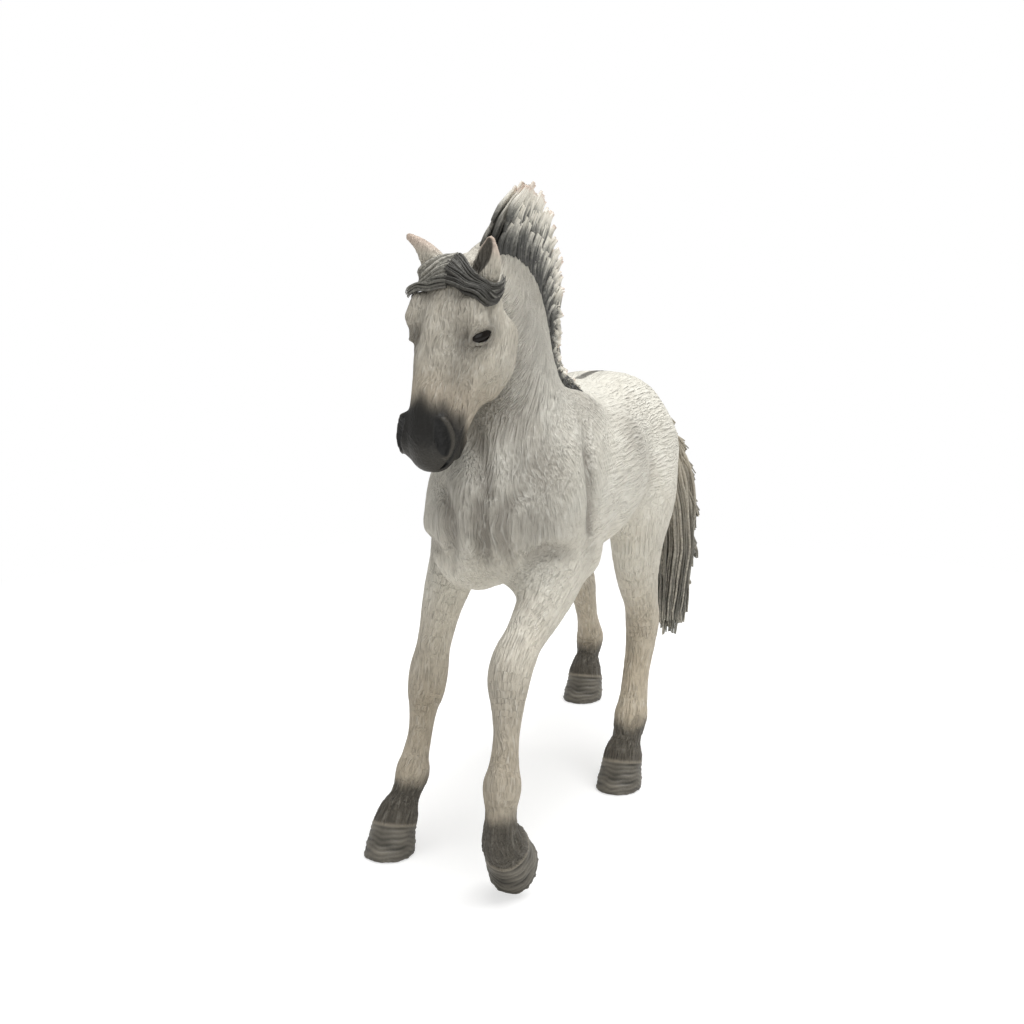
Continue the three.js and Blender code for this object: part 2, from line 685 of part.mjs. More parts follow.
const trunkLimbs = [
  limb(trunkShares, girth.trunk),
  limb(withersShares, girth.muscle),
  ...pair(croupShares, girth.muscle, bodyMiddleShare),
  ...pair(shoulderShares, girth.muscle, bodyMiddleShare),
  ...pair(upperArmShares, girth.muscle, bodyMiddleShare),
  ...pair(breastShares, girth.muscle, bodyMiddleShare),
];
const neckLimbs = [limb(neckShares, girth.neck), limb(neckCrestShares, girth.crest)];
const breastFurrow = limb(breastFurrowShares, girth.furrow);
const headLimbs = [
  limb(skullShares, girth.skull),
  ...pair(browShares, girth.cheek, 0),
  ...pair(jowlShares, girth.cheek, 0),
  ...pair(jawShares, girth.cheek, 0),
  ...pair(facialCrestShares, girth.lip, 0),
  ...pair(nostrilRimShares, girth.lip, 0),
  limb(lowerLipShares, girth.lip),
  limb(leftEarShares, girth.lip),
  limb(rightEarShares, girth.lip),
];
const legs = {
  left_foreleg: { rows: leftForelegShares, kind: girth.foreleg, join: leftForelegSeam, rootSpans: 3 },
  right_foreleg: { rows: rightForelegShares, kind: girth.foreleg, join: rightForelegSeam, rootSpans: 3 },
  left_hind_leg: { rows: leftHindLegShares, kind: girth.hindleg, join: leftHindLegSeam, rootSpans: 3 },
  right_hind_leg: { rows: rightHindLegShares, kind: girth.hindleg, join: rightHindLegSeam, rootSpans: 3 },
};
for (const leg of Object.values(legs)) {
  leg.seam = seam(leg.join.shares, leg.join.facing);
  leg.root = limb(leg.rows, { ...leg.kind, keep: leg.rootSpans });
  leg.whole = limb(leg.rows, leg.kind);
}
const legRoots = Object.values(legs).map((leg) => leg.root);
const bodyLimbs = [...trunkLimbs, ...neckLimbs, ...legRoots, breastFurrow];

const neckJoin = seam(neckSeam.shares, neckSeam.facing);
const headJoin = seam(headSeam.shares, headSeam.facing, headPlace, headFrame);
const tailJoin = seam(tailSeam.shares, tailSeam.facing);
const rootSide = (join) => ({ ...join, side: 1 });
const tipSide = (join) => ({ ...join, side: -1 });

function boundsOf(limbs) {
  return limbs.reduce((box, piece) => box.union(piece.bounds), new THREE.Box3());
}

// BODY: barrel, shoulders and haunches, with a socket for every piece that is pegged on.
function makeBody() {
  let body = wrap(bodyLimbs, [rootSide(neckJoin)], boundsOf([...trunkLimbs, ...legRoots]), trunkFacet);
  body = keepRoot(body, neckJoin).subtract(peg(neckJoin, neckPegRadius, seamClearance));
  for (const leg of Object.values(legs)) {
    const room = legTube(leg, seamFillet + seamClearance);
    body = body.subtract(keepTip(room, leg.seam, -halfGap)).subtract(peg(leg.seam, pegRadius, seamClearance));
  }
  return body.subtract(peg(tailJoin, dockRadius, seamClearance)).subtract(maneRootLine(seamClearance));
}

// NECK: from the withers and breast to behind the jowl and ears, hollowed where the skull rests in it.
function makeNeck() {
  const neck = wrap(bodyLimbs, [tipSide(neckJoin)], boundsOf([...trunkLimbs, ...neckLimbs]), neckFacet);
  const skull = wrap(headLimbs, [], boundsOf(headLimbs), headFacet, seamClearance);
  const root = keepTip(neck, neckJoin).add(peg(neckJoin, neckPegRadius));
  return root.subtract(skull).subtract(peg(headJoin, pegRadius, seamClearance)).subtract(maneRootLine(seamClearance));
}

// HEAD: skull, jowls, ears, brows, lips, eyes and nostrils in one moulding.
function makeHead() {
  const hollows = [leftNostrilShares, otherSide(leftNostrilShares), leftEarHollowShares, rightEarHollowShares];
  let head = wrap(headLimbs, [], boundsOf(headLimbs), headFacet).add(peg(headJoin, pegRadius));
  head = head.add(oval(leftEyeShares)).add(oval(otherSide(leftEyeShares)));
  return head.subtract(union(hollows.map(oval)));
}

function otherSide({ place: [down, across, out], radii }) {
  return { place: [down, -across, out], radii };
}

// An egg-shaped body on the head.
function oval({ place, radii: [down, across, out] }) {
  const geometry = new THREE.SphereGeometry(headLength, ovalSides, ovalRings);
  geometry.scale(down, (across * headBreadth) / headLength, (out * headDepth) / headLength);
  geometry.translate(place[0] * headLength, place[1] * headBreadth, place[2] * headDepth);
  geometry.applyMatrix4(headFrame);
  return solid(geometry);
}

// LEGS: one moulding each, from the seam to the sole.
function makeLeg(leg, hoof) {
  const limbs = [...trunkLimbs, ...legRoots.filter((other) => other !== leg.root), leg.whole];
  const skin = wrap(limbs, [tipSide(leg.seam)], leg.whole.bounds, legFacet).intersect(legTube(leg, seamFillet));
  return keepTip(skin, leg.seam).add(peg(leg.seam, pegRadius)).add(hoof);
}

// The room that a leg takes: its own limb grown by the given amount, from a little above the seam down.
function legTube({ whole, seam: join }, grown) {
  return wrap([whole], [tipSide(join)], whole.bounds, legFacet, grown);
}

// HOOVES: a turned cone with growth rings, sheared forward to the toe and lowered at the heel.
const coronetShare = 0.84; // coronet's width as a share of the sole's
const toeLeanShare = 0.47; // how far the wall leans back for each part of its height
const heelShare = 0.66; // height of the heel as a share of the toe's
const ringDepthShares = [-1, 1]; // each growth ring swells out and then draws in

function hoofProfile() {
  const rings = [new THREE.Vector2(0, 0), new THREE.Vector2(hoofWidth / 2, 0)];
  const count = ridgeCount * ringDepthShares.length;
  for (let ring = 1; ring < count; ring++) {
    const share = ring / count;
    const radius = THREE.MathUtils.lerp(hoofWidth, hoofWidth * coronetShare, share) / 2;
    const swell = ringDepthShares[ring % ringDepthShares.length] * ridgeHeight * (1 - share);
    rings.push(new THREE.Vector2(radius + swell, share * hoofHeight));
  }
  rings.push(new THREE.Vector2((hoofWidth * coronetShare) / 2, hoofHeight), new THREE.Vector2(0, hoofHeight));
  return rings;
}

function hoofGeometry() {
  const geometry = new THREE.LatheGeometry(hoofProfile(), hoofSides);
  geometry.rotateX(Math.PI / 2);
  const points = geometry.attributes.position;
  for (let i = 0; i < points.count; i++) {
    const forward = points.getX(i) / hoofWidth;
    const height = points.getZ(i) * THREE.MathUtils.lerp(heelShare, 1, forward + 1 / 2);
    points.setXYZ(i, forward * hoofLength - height * toeLeanShare, points.getY(i), height);
  }
  return geometry;
}

function standingHoof([along, across]) {
  const geometry = hoofGeometry();
  const place = bodyPlace([along, across, 0]);
  geometry.translate(place.x, place.y, place.z);
  return solid(geometry);
}

// The raised hoof turns about its upper edge, and its toe is trimmed flat where it meets the ground.
function raisedHoof() {
  const geometry = hoofGeometry();
  const upperEdge = (hoofHeight * (1 + heelShare)) / 2;
  geometry.translate(upperEdge * toeLeanShare, 0, -upperEdge);
  geometry.rotateY(toeFlex);
  const place = bodyPlace(raisedHoofShares);
  geometry.translate(place.x, place.y, place.z);
  const ground = { place: new THREE.Vector3(place.x, place.y, 0), facing: upright };
  return solid(geometry).subtract(seamBlock(ground, -1, 0));
}

// HAIR

// The place drawn onto the skin of the body and neck.
function onSkin(place) {
  drawOntoSkin(place, (point) => skinDistance(point, bodyLimbs), trunkFacet);
  return place;
}

// A lock: oval rings round a curve that swell from the root and run out to a point. The wide way of
// the ring follows the given direction.
function lock(path, wide, halfWidth, halfThickness, rings, swellShares) {
  const positions = [...path.getPointAt(0).toArray()];
  for (let ring = 1; ring < rings; ring++) {
    const share = ring / rings;
    const swell = swellShares[Math.round(share * (swellShares.length - 1))];
    const thin = path.getTangentAt(share).cross(wide).normalize();
    const across = thin.clone().cross(path.getTangentAt(share));
    for (let side = 0; side < lockSides; side++) {
      const turn = (side / lockSides) * 2 * Math.PI;
      const point = path.getPointAt(share).addScaledVector(across, Math.cos(turn) * halfWidth * swell);
      positions.push(...point.addScaledVector(thin, Math.sin(turn) * halfThickness * swell).toArray());
    }
  }
  positions.push(...path.getPointAt(1).toArray());
  const facets = [];
  const tip = positions.length / 3 - 1;
  const at = (ring, side) => 1 + (ring - 1) * lockSides + (side % lockSides);
  for (let side = 0; side < lockSides; side++) {
    facets.push(0, at(1, side + 1), at(1, side));
    for (let ring = 1; ring < rings - 1; ring++) {
      facets.push(at(ring, side), at(ring, side + 1), at(ring + 1, side));
      facets.push(at(ring + 1, side), at(ring, side + 1), at(ring + 1, side + 1));
    }
    facets.push(at(rings - 1, side), at(rings - 1, side + 1), tip);
  }
  return shell(positions, facets);
}

// A sheet of hair that holds locks together: rungs between two lines, thickened to both sides. Each rung
// is given by its two ends and the way that the sheet runs there.
function sheet(rungAt, halfThickness, rings) {
  const positions = [];
  for (let ring = 0; ring <= rings; ring++) {
    const [near, far, along] = rungAt(ring / rings);
    const thin = along.clone().cross(far.clone().sub(near)).setLength(halfThickness);
    positions.push(...far.clone().add(thin).toArray(), ...near.clone().add(thin).toArray());
    positions.push(...near.clone().sub(thin).toArray(), ...far.clone().sub(thin).toArray());
  }
  const facets = [0, 3, 2, 0, 2, 1];
  const at = (ring, corner) => ring * 4 + (corner % 4);
  for (let ring = 0; ring < rings; ring++) {
    for (let corner = 0; corner < 4; corner++) {
      facets.push(at(ring, corner), at(ring, corner + 1), at(ring + 1, corner));
      facets.push(at(ring + 1, corner), at(ring, corner + 1), at(ring + 1, corner + 1));
    }
  }
  facets.push(at(rings, 0), at(rings, 1), at(rings, 2), at(rings, 0), at(rings, 2), at(rings, 3));
  return shell(positions, facets);
}

const crestLine = curveThrough(crestShares.map((shares) => onSkin(bodyPlace(shares))));
const maneEdge = curveThrough(maneTipShares.map(bodyPlace));
// The root of the mane, let into the crest of the neck, or its groove when it is grown.
function maneRootLine(grown = 0) {
  const half = maneRoot / 2 + grown;
  return lock(crestLine, acrossBody, half, half, rootRings, rootSwellShares);
}

// MANE: two rows of locks that stand up from the crest, lean to the left and splay at their tips.
function makeMane() {
  const lockWidth = (crestLine.getLength() / maneLocks) * maneLockFillShare;
  const locks = [];
  for (const row of [-1, 1]) {
    for (let count = 0; count < maneLocks; count++) {
      const share = (count + (row > 0 ? 1 / 2 : 0)) / (maneLocks - 1 / 2);
      const wide = crestLine.getTangentAt(share);
      const root = crestLine.getPointAt(share);
      const tip = maneEdge.getPointAt(share).addScaledVector(acrossBody, row * maneRowGap);
      tip.lerpVectors(root, tip, lockReachShares[(2 * count + row + 1) % lockReachShares.length]);
      const middle = root.clone().lerp(tip, 1 / 2).addScaledVector(wide, -maneCurl);
      const path = curveThrough([root, middle, tip]);
      locks.push(lock(path, wide, lockWidth / 2, maneLockThickness / 2, maneRings, lockSwellShares));
    }
  }
  locks.push(
    sheet(
      (share) => {
        const [root, tip] = [crestLine.getPointAt(share), maneEdge.getPointAt(share)];
        const [near, far] = maneSheetShares.map((reach) => root.clone().lerp(tip, reach));
        return [near, far, crestLine.getTangentAt(share)];
      },
      maneRowGap,
      2 * maneLocks - 1,
    ),
  );
  const bounds = new THREE.Box3().setFromPoints([...crestShares, ...maneTipShares].map(bodyPlace));
  const guard = skinGuard([...bodyLimbs, ...headLimbs], bounds.expandByScalar(lockWidth), hairFacet);
  return union(locks).subtract(guard).add(maneRootLine());
}

// The skin grown by the clearance, which is taken away from the hair that lies on it.
function skinGuard(limbs, box, facet) {
  return wrap(limbs, [], box, facet, seamClearance);
}

// FORELOCK: two fans of locks parted over the brow and swept round the ears.
function makeForelock() {
  const thickness = (headDepth * forelockWidthShare) / 2;
  const spread = headLength * forelockSpreadShare;
  const locks = [];
  const wide = new THREE.Vector3().setFromMatrixColumn(headFrame, 0);
  const places = [forelockRightShares, forelockLeftShares].map((rows) => rows.map(headPlace));
  for (const points of places) {
    const paths = [-1, 0, 1].map((level) =>
      curveThrough(points.map((point) => point.clone().addScaledVector(wide, level * spread))),
    );
    for (const path of paths) {
      locks.push(lock(path, wide, thickness, thickness, forelockRings, lockSwellShares));
    }
    const [first, middle, last] = paths;
    const rungAt = (share) => {
      const along = share * forelockSheetShare;
      return [first.getPointAt(along), last.getPointAt(along), middle.getTangentAt(along)];
    };
    locks.push(sheet(rungAt, thickness / 2, forelockRings));
  }
  const bounds = new THREE.Box3().setFromPoints(places.flat()).expandByScalar(2 * thickness);
  return union(locks).subtract(skinGuard([...neckLimbs, ...headLimbs], bounds, headFacet));
}

// TAIL: a dock that plugs into the body and a bundle of wavy locks round one core.
const tailPlaces = tailShares.map(bodyPlace);
const tailCurve = curveThrough(tailPlaces);
const tailStrands = 5;
const waveTurns = 2; // how far a lock's wave runs on from one place of the tail's line to the next

function makeTail() {
  const spread = (tailWidth - tailLockWidth) / 2;
  const locks = [lock(tailCurve, acrossBody, spread, spread, tailRings, tailSwellShares)];
  for (let strand = 0; strand < tailStrands; strand++) {
    const turn = (strand / tailStrands) * 2 * Math.PI;
    const points = tailPlaces.map((place, order) => {
      const along = tailCurve.getTangent(order / (tailPlaces.length - 1));
      const outward = upright.clone().cross(along).normalize();
      const backward = along.clone().cross(outward);
      const stand = spread * tailSpreadShares[order];
      const swing = order > 0 ? tailWave * Math.sin(order * waveTurns + strand) : 0;
      const point = place.clone().addScaledVector(outward, Math.cos(turn) * stand + swing);
      return point.addScaledVector(backward, Math.sin(turn) * stand);
    });
    const halfWidth = tailLockWidth / 2;
    locks.push(lock(curveThrough(points), acrossBody, halfWidth, halfWidth, tailRings, tailSwellShares));
  }
  const rootBounds = new THREE.Box3().setFromPoints(tailPlaces.slice(0, 3)).expandByScalar(tailWidth);
  return union(locks).subtract(skinGuard(bodyLimbs, rootBounds, neckFacet)).add(peg(tailJoin, dockRadius));
}

// ASSEMBLY

const paint = (color, roughness) => new THREE.MeshStandardMaterial({ color, roughness, metalness: 0 });
const coat = paint("#d9d5cc", 0.62);
const paleCoat = paint("#e4e0d8", 0.62);
const faceCoat = paint("#cfc8bc", 0.6);
const legCoat = paint("#cbc3b6", 0.62);
const greyHair = paint("#8f8e8c", 0.58);
const darkHair = paint("#5f5f60", 0.55);
const tailHair = paint("#827a70", 0.58);

const horse = new THREE.Group();
horse.name = "toy_horse";
horse.add(
  mesh("body", makeBody(), paleCoat),
  mesh("neck", makeNeck(), coat),
  mesh("head", makeHead(), faceCoat),
  mesh("left_foreleg", makeLeg(legs.left_foreleg, raisedHoof()), legCoat),
  mesh("right_foreleg", makeLeg(legs.right_foreleg, standingHoof(rightForeSoleShares)), legCoat),
  mesh("left_hind_leg", makeLeg(legs.left_hind_leg, standingHoof(leftHindSoleShares)), legCoat),
  mesh("right_hind_leg", makeLeg(legs.right_hind_leg, standingHoof(rightHindSoleShares)), legCoat),
  mesh("mane", makeMane(), greyHair),
  mesh("forelock", makeForelock(), darkHair),
  mesh("tail", makeTail(), tailHair),
);

// The origin is on the ground under the middle of the figure.
const extent = new THREE.Box3().setFromObject(horse);
const middle = extent.getCenter(new THREE.Vector3());
horse.position.set(-middle.x, -middle.y, -extent.min.z);

export default horse;
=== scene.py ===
import math

import bpy
import numpy as np
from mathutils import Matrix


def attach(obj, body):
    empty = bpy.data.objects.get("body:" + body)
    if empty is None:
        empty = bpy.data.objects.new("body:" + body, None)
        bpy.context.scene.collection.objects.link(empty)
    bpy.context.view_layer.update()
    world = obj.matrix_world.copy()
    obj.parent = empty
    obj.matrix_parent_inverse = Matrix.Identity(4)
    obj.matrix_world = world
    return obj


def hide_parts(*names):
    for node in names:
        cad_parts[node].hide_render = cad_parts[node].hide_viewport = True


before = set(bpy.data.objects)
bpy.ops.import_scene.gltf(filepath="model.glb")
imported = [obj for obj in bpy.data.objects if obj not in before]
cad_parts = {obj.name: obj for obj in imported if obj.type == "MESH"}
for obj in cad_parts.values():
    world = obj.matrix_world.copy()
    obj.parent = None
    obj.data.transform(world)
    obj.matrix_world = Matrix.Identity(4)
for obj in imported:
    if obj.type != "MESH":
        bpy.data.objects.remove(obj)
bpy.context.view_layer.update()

import openvdb
from mathutils import Matrix, Vector

MM = 0.001
HORSE_SHIFT = np.array((3.68, 1.19, 0.0))  # from the horse's own axes to the middle of its box, mm


def placed(points):
    """Places in the horse's own axes, in millimetres, as places in the scene."""
    return (np.asarray(points, float) + HORSE_SHIFT) * MM


def in_scene(name, data):
    thing = bpy.data.objects.new(name, data)
    bpy.context.collection.objects.link(thing)
    return thing


class Socket:
    """A shader socket on which sums are written as Python."""

    def __init__(self, tree, socket):
        self.tree, self.socket = tree, socket

    def node(self, kind, inputs=None, output=0, ramp=None, **settings):
        made = self.tree.nodes.new(kind)
        for name, value in settings.items():
            setattr(made, name, value)
        if ramp:
            stops = made.color_ramp.elements
            while len(stops) < len(ramp):
                stops.new(1.0)
            for stop, (place, colour) in zip(stops, ramp):
                stop.position = place
                stop.color = (*colour, 1.0)
        for name, value in (inputs or {}).items():
            if isinstance(value, Socket):
                self.tree.links.new(value.socket, made.inputs[name])
            else:
                made.inputs[name].default_value = value
        return Socket(self.tree, made.outputs[output])

    def maths(self, operation, *values, clamp=False):
        inputs = dict(enumerate(values))
        return self.node("ShaderNodeMath", inputs, operation=operation, use_clamp=clamp)

    def __add__(self, other):
        return self.maths("ADD", self, other)

    def __mul__(self, other):
        return self.maths("MULTIPLY", self, other)

    def __sub__(self, other):
        return self.maths("SUBTRACT", self, other)

    def __rsub__(self, other):
        return self.maths("SUBTRACT", other, self)

    def __pow__(self, other):
        return self.maths("POWER", self, other)

    __radd__ = __add__
    __rmul__ = __mul__

    def vector(self, operation, *values, output=0):
        inputs = {}
        for place, value in enumerate(values):
            inputs[3 if operation == "SCALE" and place == 1 else place] = value
        return self.node("ShaderNodeVectorMath", inputs, output=output, operation=operation)

    def clamped(self):
        return self.maths("ADD", self, 0.0, clamp=True)

    def mix(self, first, second):
        """The first colour where this is 0 and the second where it is 1."""
        first = (*first, 1.0) if isinstance(first, tuple) else first
        second = (*second, 1.0) if isinstance(second, tuple) else second
        values = {0: self, 6: first, 7: second}
        return self.node("ShaderNodeMix", values, output=2, data_type="RGBA")


class Finish:
    """A material, its tree and the sockets that its sums start from."""

    def __init__(self, name, **constants):
        self.material = bpy.data.materials.new(name)
        self.material.use_nodes = True
        self.tree = self.material.node_tree
        self.shader = self.tree.nodes["Principled BSDF"]
        self.start = Socket(self.tree, None)
        for socket, value in constants.items():
            self.shader.inputs[socket.replace("_", " ")].default_value = value

    def node(self, kind, *arguments, **settings):
        return self.start.node(kind, *arguments, **settings)

    def attribute(self, name, output=2):
        return self.node("ShaderNodeAttribute", output=output, attribute_name=name)

    def place(self):
        return self.node("ShaderNodeTexCoord", output=3)

    def noise(self, scale, detail=3.0, roughness=0.5, vector=None):
        values = {"Vector": vector or self.place(), "Scale": scale}
        return self.node("ShaderNodeTexNoise", values | {"Detail": detail, "Roughness": roughness})

    def feed(self, socket, value):
        self.tree.links.new(value.socket, self.shader.inputs[socket])

    def bump(self, height, distance, strength=1.0):
        values = {"Height": height, "Distance": distance, "Strength": strength}
        self.feed("Normal", self.node("ShaderNodeBump", values))


camera_place = np.array((280.6, 100.95, 110.07))
camera_bearing = math.radians(21.29)
camera_drop = math.radians(11.0)
image_width = 1024
focal_pixels = 1666.27
camera_data = bpy.data.cameras.new("camera")
camera_data.sensor_width = 36.0
camera_data.lens = focal_pixels * camera_data.sensor_width / image_width
camera_data.clip_start = 0.01
camera = in_scene("camera", camera_data)
level = Vector((-math.cos(camera_bearing), -math.sin(camera_bearing), 0.0))
ahead = level * math.cos(camera_drop) - Vector((0, 0, 1)) * math.sin(camera_drop)
right = level.cross(Vector((0, 0, 1)))
axes = Matrix((right, right.cross(ahead), -ahead)).transposed()
camera.matrix_world = Matrix.Translation(placed(camera_place)) @ axes.to_4x4()
bpy.context.scene.camera = camera
bpy.context.scene.view_settings.view_transform = "Standard"

table_half = 3.0
table_mesh = bpy.data.meshes.new("table")
corners = [(x * table_half, y * table_half, 0) for x, y in ((-1, -1), (1, -1), (1, 1), (-1, 1))]
table_mesh.from_pydata(corners, [], [(0, 1, 2, 3)])
table = in_scene("table", table_mesh)
white = Finish("white_table", Base_Color=(0.88, 0.87, 0.85, 1), Roughness=0.8)
# The camera sees the table as white out to the walls; near the horse its shadow still darkens it.
white_from, white_rise = 0.11, 9.0
glow = white.node("ShaderNodeEmission", {"Strength": 0.58})
shade = white.node("ShaderNodeBsdfDiffuse", {"Color": (0.52, 0.52, 0.515, 1)})
lit = white.node("ShaderNodeAddShader", {0: glow, 1: shade})
bright = white.node("ShaderNodeEmission", {"Strength": 1.0})
away = white.start.vector("LENGTH", white.place(), output=1)
away = ((away - white_from) * white_rise).clamped()
lit = white.node("ShaderNodeMixShader", {0: away, 1: lit, 2: bright})
plain = Socket(white.tree, white.shader.outputs[0])
surface = white.node("ShaderNodeMixShader", {0: white.node("ShaderNodeLightPath"), 1: plain, 2: lit})
white.tree.links.new(surface.socket, white.tree.nodes["Material Output"].inputs["Surface"])
table_mesh.materials.append(white.material)

world = bpy.data.worlds.new("studio")
bpy.context.scene.world = world
world.use_nodes = True
wall_light = 0.36
walls = world.node_tree.nodes["Background"]
walls.inputs["Color"].default_value = (1, 1, 1, 1)
strength = Socket(world.node_tree, None).node("ShaderNodeLightPath") * (1.0 - wall_light) + wall_light
world.node_tree.links.new(strength.socket, walls.inputs["Strength"])


def soft_box(name, place, aim, size, power):
    lamp = bpy.data.lights.new(name, "AREA")
    lamp.shape = "RECTANGLE"
    lamp.size, lamp.size_y = size
    lamp.energy = power
    box = in_scene(name, lamp)
    box.location = place
    box.rotation_euler = (Vector(aim) - Vector(place)).to_track_quat("-Z", "Y").to_euler()


soft_box("box_overhead", (-0.1, 0.1, 0.75), (0, 0, 0.05), (0.6, 0.6), 6.7)
soft_box("box_before", (0.55, 0.5, 0.45), (0, 0, 0.06), (0.5, 0.5), 1.3)

# THE BODY
# Barrel, shoulders, haunches and the tops of the legs, moulded in solid vinyl. The skin is a smooth
# union of limbs: rows of a place, a half-breadth and a half-depth, or one radius, in millimetres.
# Hair strokes are pressed into it, and grey wash and painted shade are brushed into the hollows.
trunk_rows = [
    (-35.5, 0.5, 61.5, 6.5, 8.5), (-30, 0.5, 62, 11.4, 12.3), (-21, 0.5, 62, 12.6, 13.8),
    (-12, 0.5, 61.2, 13, 14.2), (-3, 0.5, 60, 15.6, 15), (6, 0.5, 59.5, 15.2, 15.4),
    (16, 0.5, 59.2, 13.6, 15), (25, 0.5, 58.6, 11.4, 13.4), (32.5, 0.5, 58.2, 8.2, 9.8),
]
withers_rows = [(-6, 0.5, 68.5, 5, 6.5), (4, 0.5, 70, 4.5, 7), (12, 0.4, 71, 4.5, 7)]
croup_rows = [
    (-13, 5.2, 66.4, 6, 7.2), (-22, 5.6, 66, 6.4, 8.4), (-31, 5, 63.2, 6.2, 8),
    (-35.5, 4.4, 59.6, 5.2, 7),
]
shoulder_rows = [
    (6, 7, 70, 3.5, 6), (15, 9.2, 64, 4.4, 7.5), (24, 9.8, 58, 4.6, 7.5), (29.5, 9, 54.5, 4.4, 6.2),
]
upper_arm_rows = [(14, 10.8, 57, 3.8, 6.5), (20, 11, 50.5, 4, 6.4)]
breast_rows = [(32, 5, 57.5, 4.6, 5.4), (30, 6, 50.5, 5, 5.6), (25, 6, 46.8, 4.5, 4)]
breast_furrow_rows = [(40.8, 1.6, 62, 1), (39.2, 1.6, 56, 1), (36.8, 1.2, 50, 1)]
left_foreleg_rows = [
    (20.5, 9.2, 50.5, 4.6, 7), (26.5, 9.3, 46.4, 4.5, 6), (32.5, 9.2, 42.8, 3.8, 4.9),
    (38.5, 8.8, 39.2, 3.1, 3.8), (42.6, 8.6, 36.8, 3.5, 3.5), (45.1, 8.6, 33.8, 3.4, 3.3),
    (46.5, 9, 30, 2.6, 2.8), (48.2, 9.4, 25.5, 2, 2.3), (49.9, 9.7, 21, 2.4, 2.8),
    (51, 9.8, 18.2, 3, 3.3), (52.2, 10.1, 14.6, 2.4, 2.6), (52.6, 10.2, 11.6, 2.8, 3),
    (51.6, 10.3, 9.3, 3.4, 3.6), (50.8, 10.4, 8.8, 3.6, 3.8),
]
right_foreleg_rows = [
    (18.5, -9.8, 51, 4.6, 7), (20.4, -11.6, 44.5, 4, 5.9), (22.4, -12.8, 38.5, 3.2, 4.7),
    (24.4, -13.4, 32.5, 2.8, 3.6), (26, -13.7, 28.2, 3.3, 3.6), (27, -13.8, 25, 3.2, 3.5),
    (28.5, -13.7, 22.3, 2.5, 2.8), (31, -13.2, 18.5, 2, 2.3), (33.8, -12.9, 15, 2.2, 2.7),
    (35.3, -12.8, 12.6, 2.8, 3.2), (37, -13.3, 9.2, 2.4, 2.6), (38.8, -13.9, 6.2, 3.3, 3.4),
    (39.6, -14.2, 4.6, 3.6, 3.7),
]
left_hind_rows = [
    (-27.5, 8.2, 61, 6.8, 11), (-21, 10.2, 53.5, 6.2, 10), (-15.6, 11, 46.5, 5, 7.8),
    (-16.5, 10.8, 38.5, 4, 5.4), (-19.6, 10.7, 32, 3.2, 3.9), (-21, 10.6, 27.8, 3.2, 4.1),
    (-19.2, 10.8, 23.6, 2.8, 3.1), (-15.2, 11.2, 18.6, 2.5, 2.5), (-11, 12, 14.4, 2.7, 3),
    (-9, 12.2, 12, 3.1, 3.4), (-6.6, 12.2, 8.6, 2.6, 2.8), (-4.9, 12.1, 6, 3.4, 3.5),
    (-4.2, 12.1, 4.5, 3.7, 3.7),
]
right_hind_rows = [
    (-28, -7.6, 60.5, 6.8, 11), (-28, -9.8, 51.5, 6.2, 10.4), (-30.8, -10.9, 43.5, 5, 7.7),
    (-38, -11, 36, 3.8, 5.1), (-44.2, -11, 30.8, 2.9, 3.8), (-47.6, -11.1, 27.6, 2.9, 4),
    (-51, -11.5, 23.6, 2.5, 3), (-55.4, -12.3, 18.2, 2.2, 2.4), (-59, -13, 13.8, 2.6, 3),
    (-59.8, -13.1, 11.8, 2.9, 3.3), (-57.6, -12.9, 8.4, 2.4, 2.7), (-55.4, -12.6, 5.9, 3.3, 3.4),
    (-54.6, -12.5, 4.5, 3.6, 3.7),
]
neck_rows = [
    (22, 0.5, 62, 11.5, 13), (20.8, 0.3, 70, 9, 12), (20.2, -0.2, 78, 6.8, 10.4),
    (22, -1, 86, 5.4, 8.8), (26, -2.4, 92.8, 5.1, 7.2), (31, -3.6, 95.2, 4.4, 4.8),
]
neck_crest_rows = [
    (12, 0.4, 76.5, 3, 3), (11.6, 0.3, 84, 2.6, 3), (13.8, 0, 91, 2.4, 3), (18.6, -0.8, 96.6, 2.4, 3),
    (25.5, -2.4, 99, 2.4, 3),
]
SPANS_PER_STATION = 4
FAR = 50.0


def through(stations, steps):
    """A smooth curve through the stations, as steps + 1 rows."""
    rows = np.asarray(stations, float)
    padded = np.vstack((2 * rows[0] - rows[1], rows, 2 * rows[-1] - rows[-2]))
    out = []
    for share in np.linspace(0, len(rows) - 1, steps + 1):
        k = min(int(share), len(rows) - 2)
        t = share - k
        a, b, c, d = padded[k : k + 4]
        square, cube = 2 * a - 5 * b + 4 * c - d, 3 * b - 3 * c + d - a
        out.append(0.5 * (2 * b + (c - a) * t + square * t**2 + cube * t**3))
    return np.array(out)


def unit(vectors):
    return vectors / np.maximum(np.linalg.norm(vectors, axis=-1, keepdims=True), 1e-9)


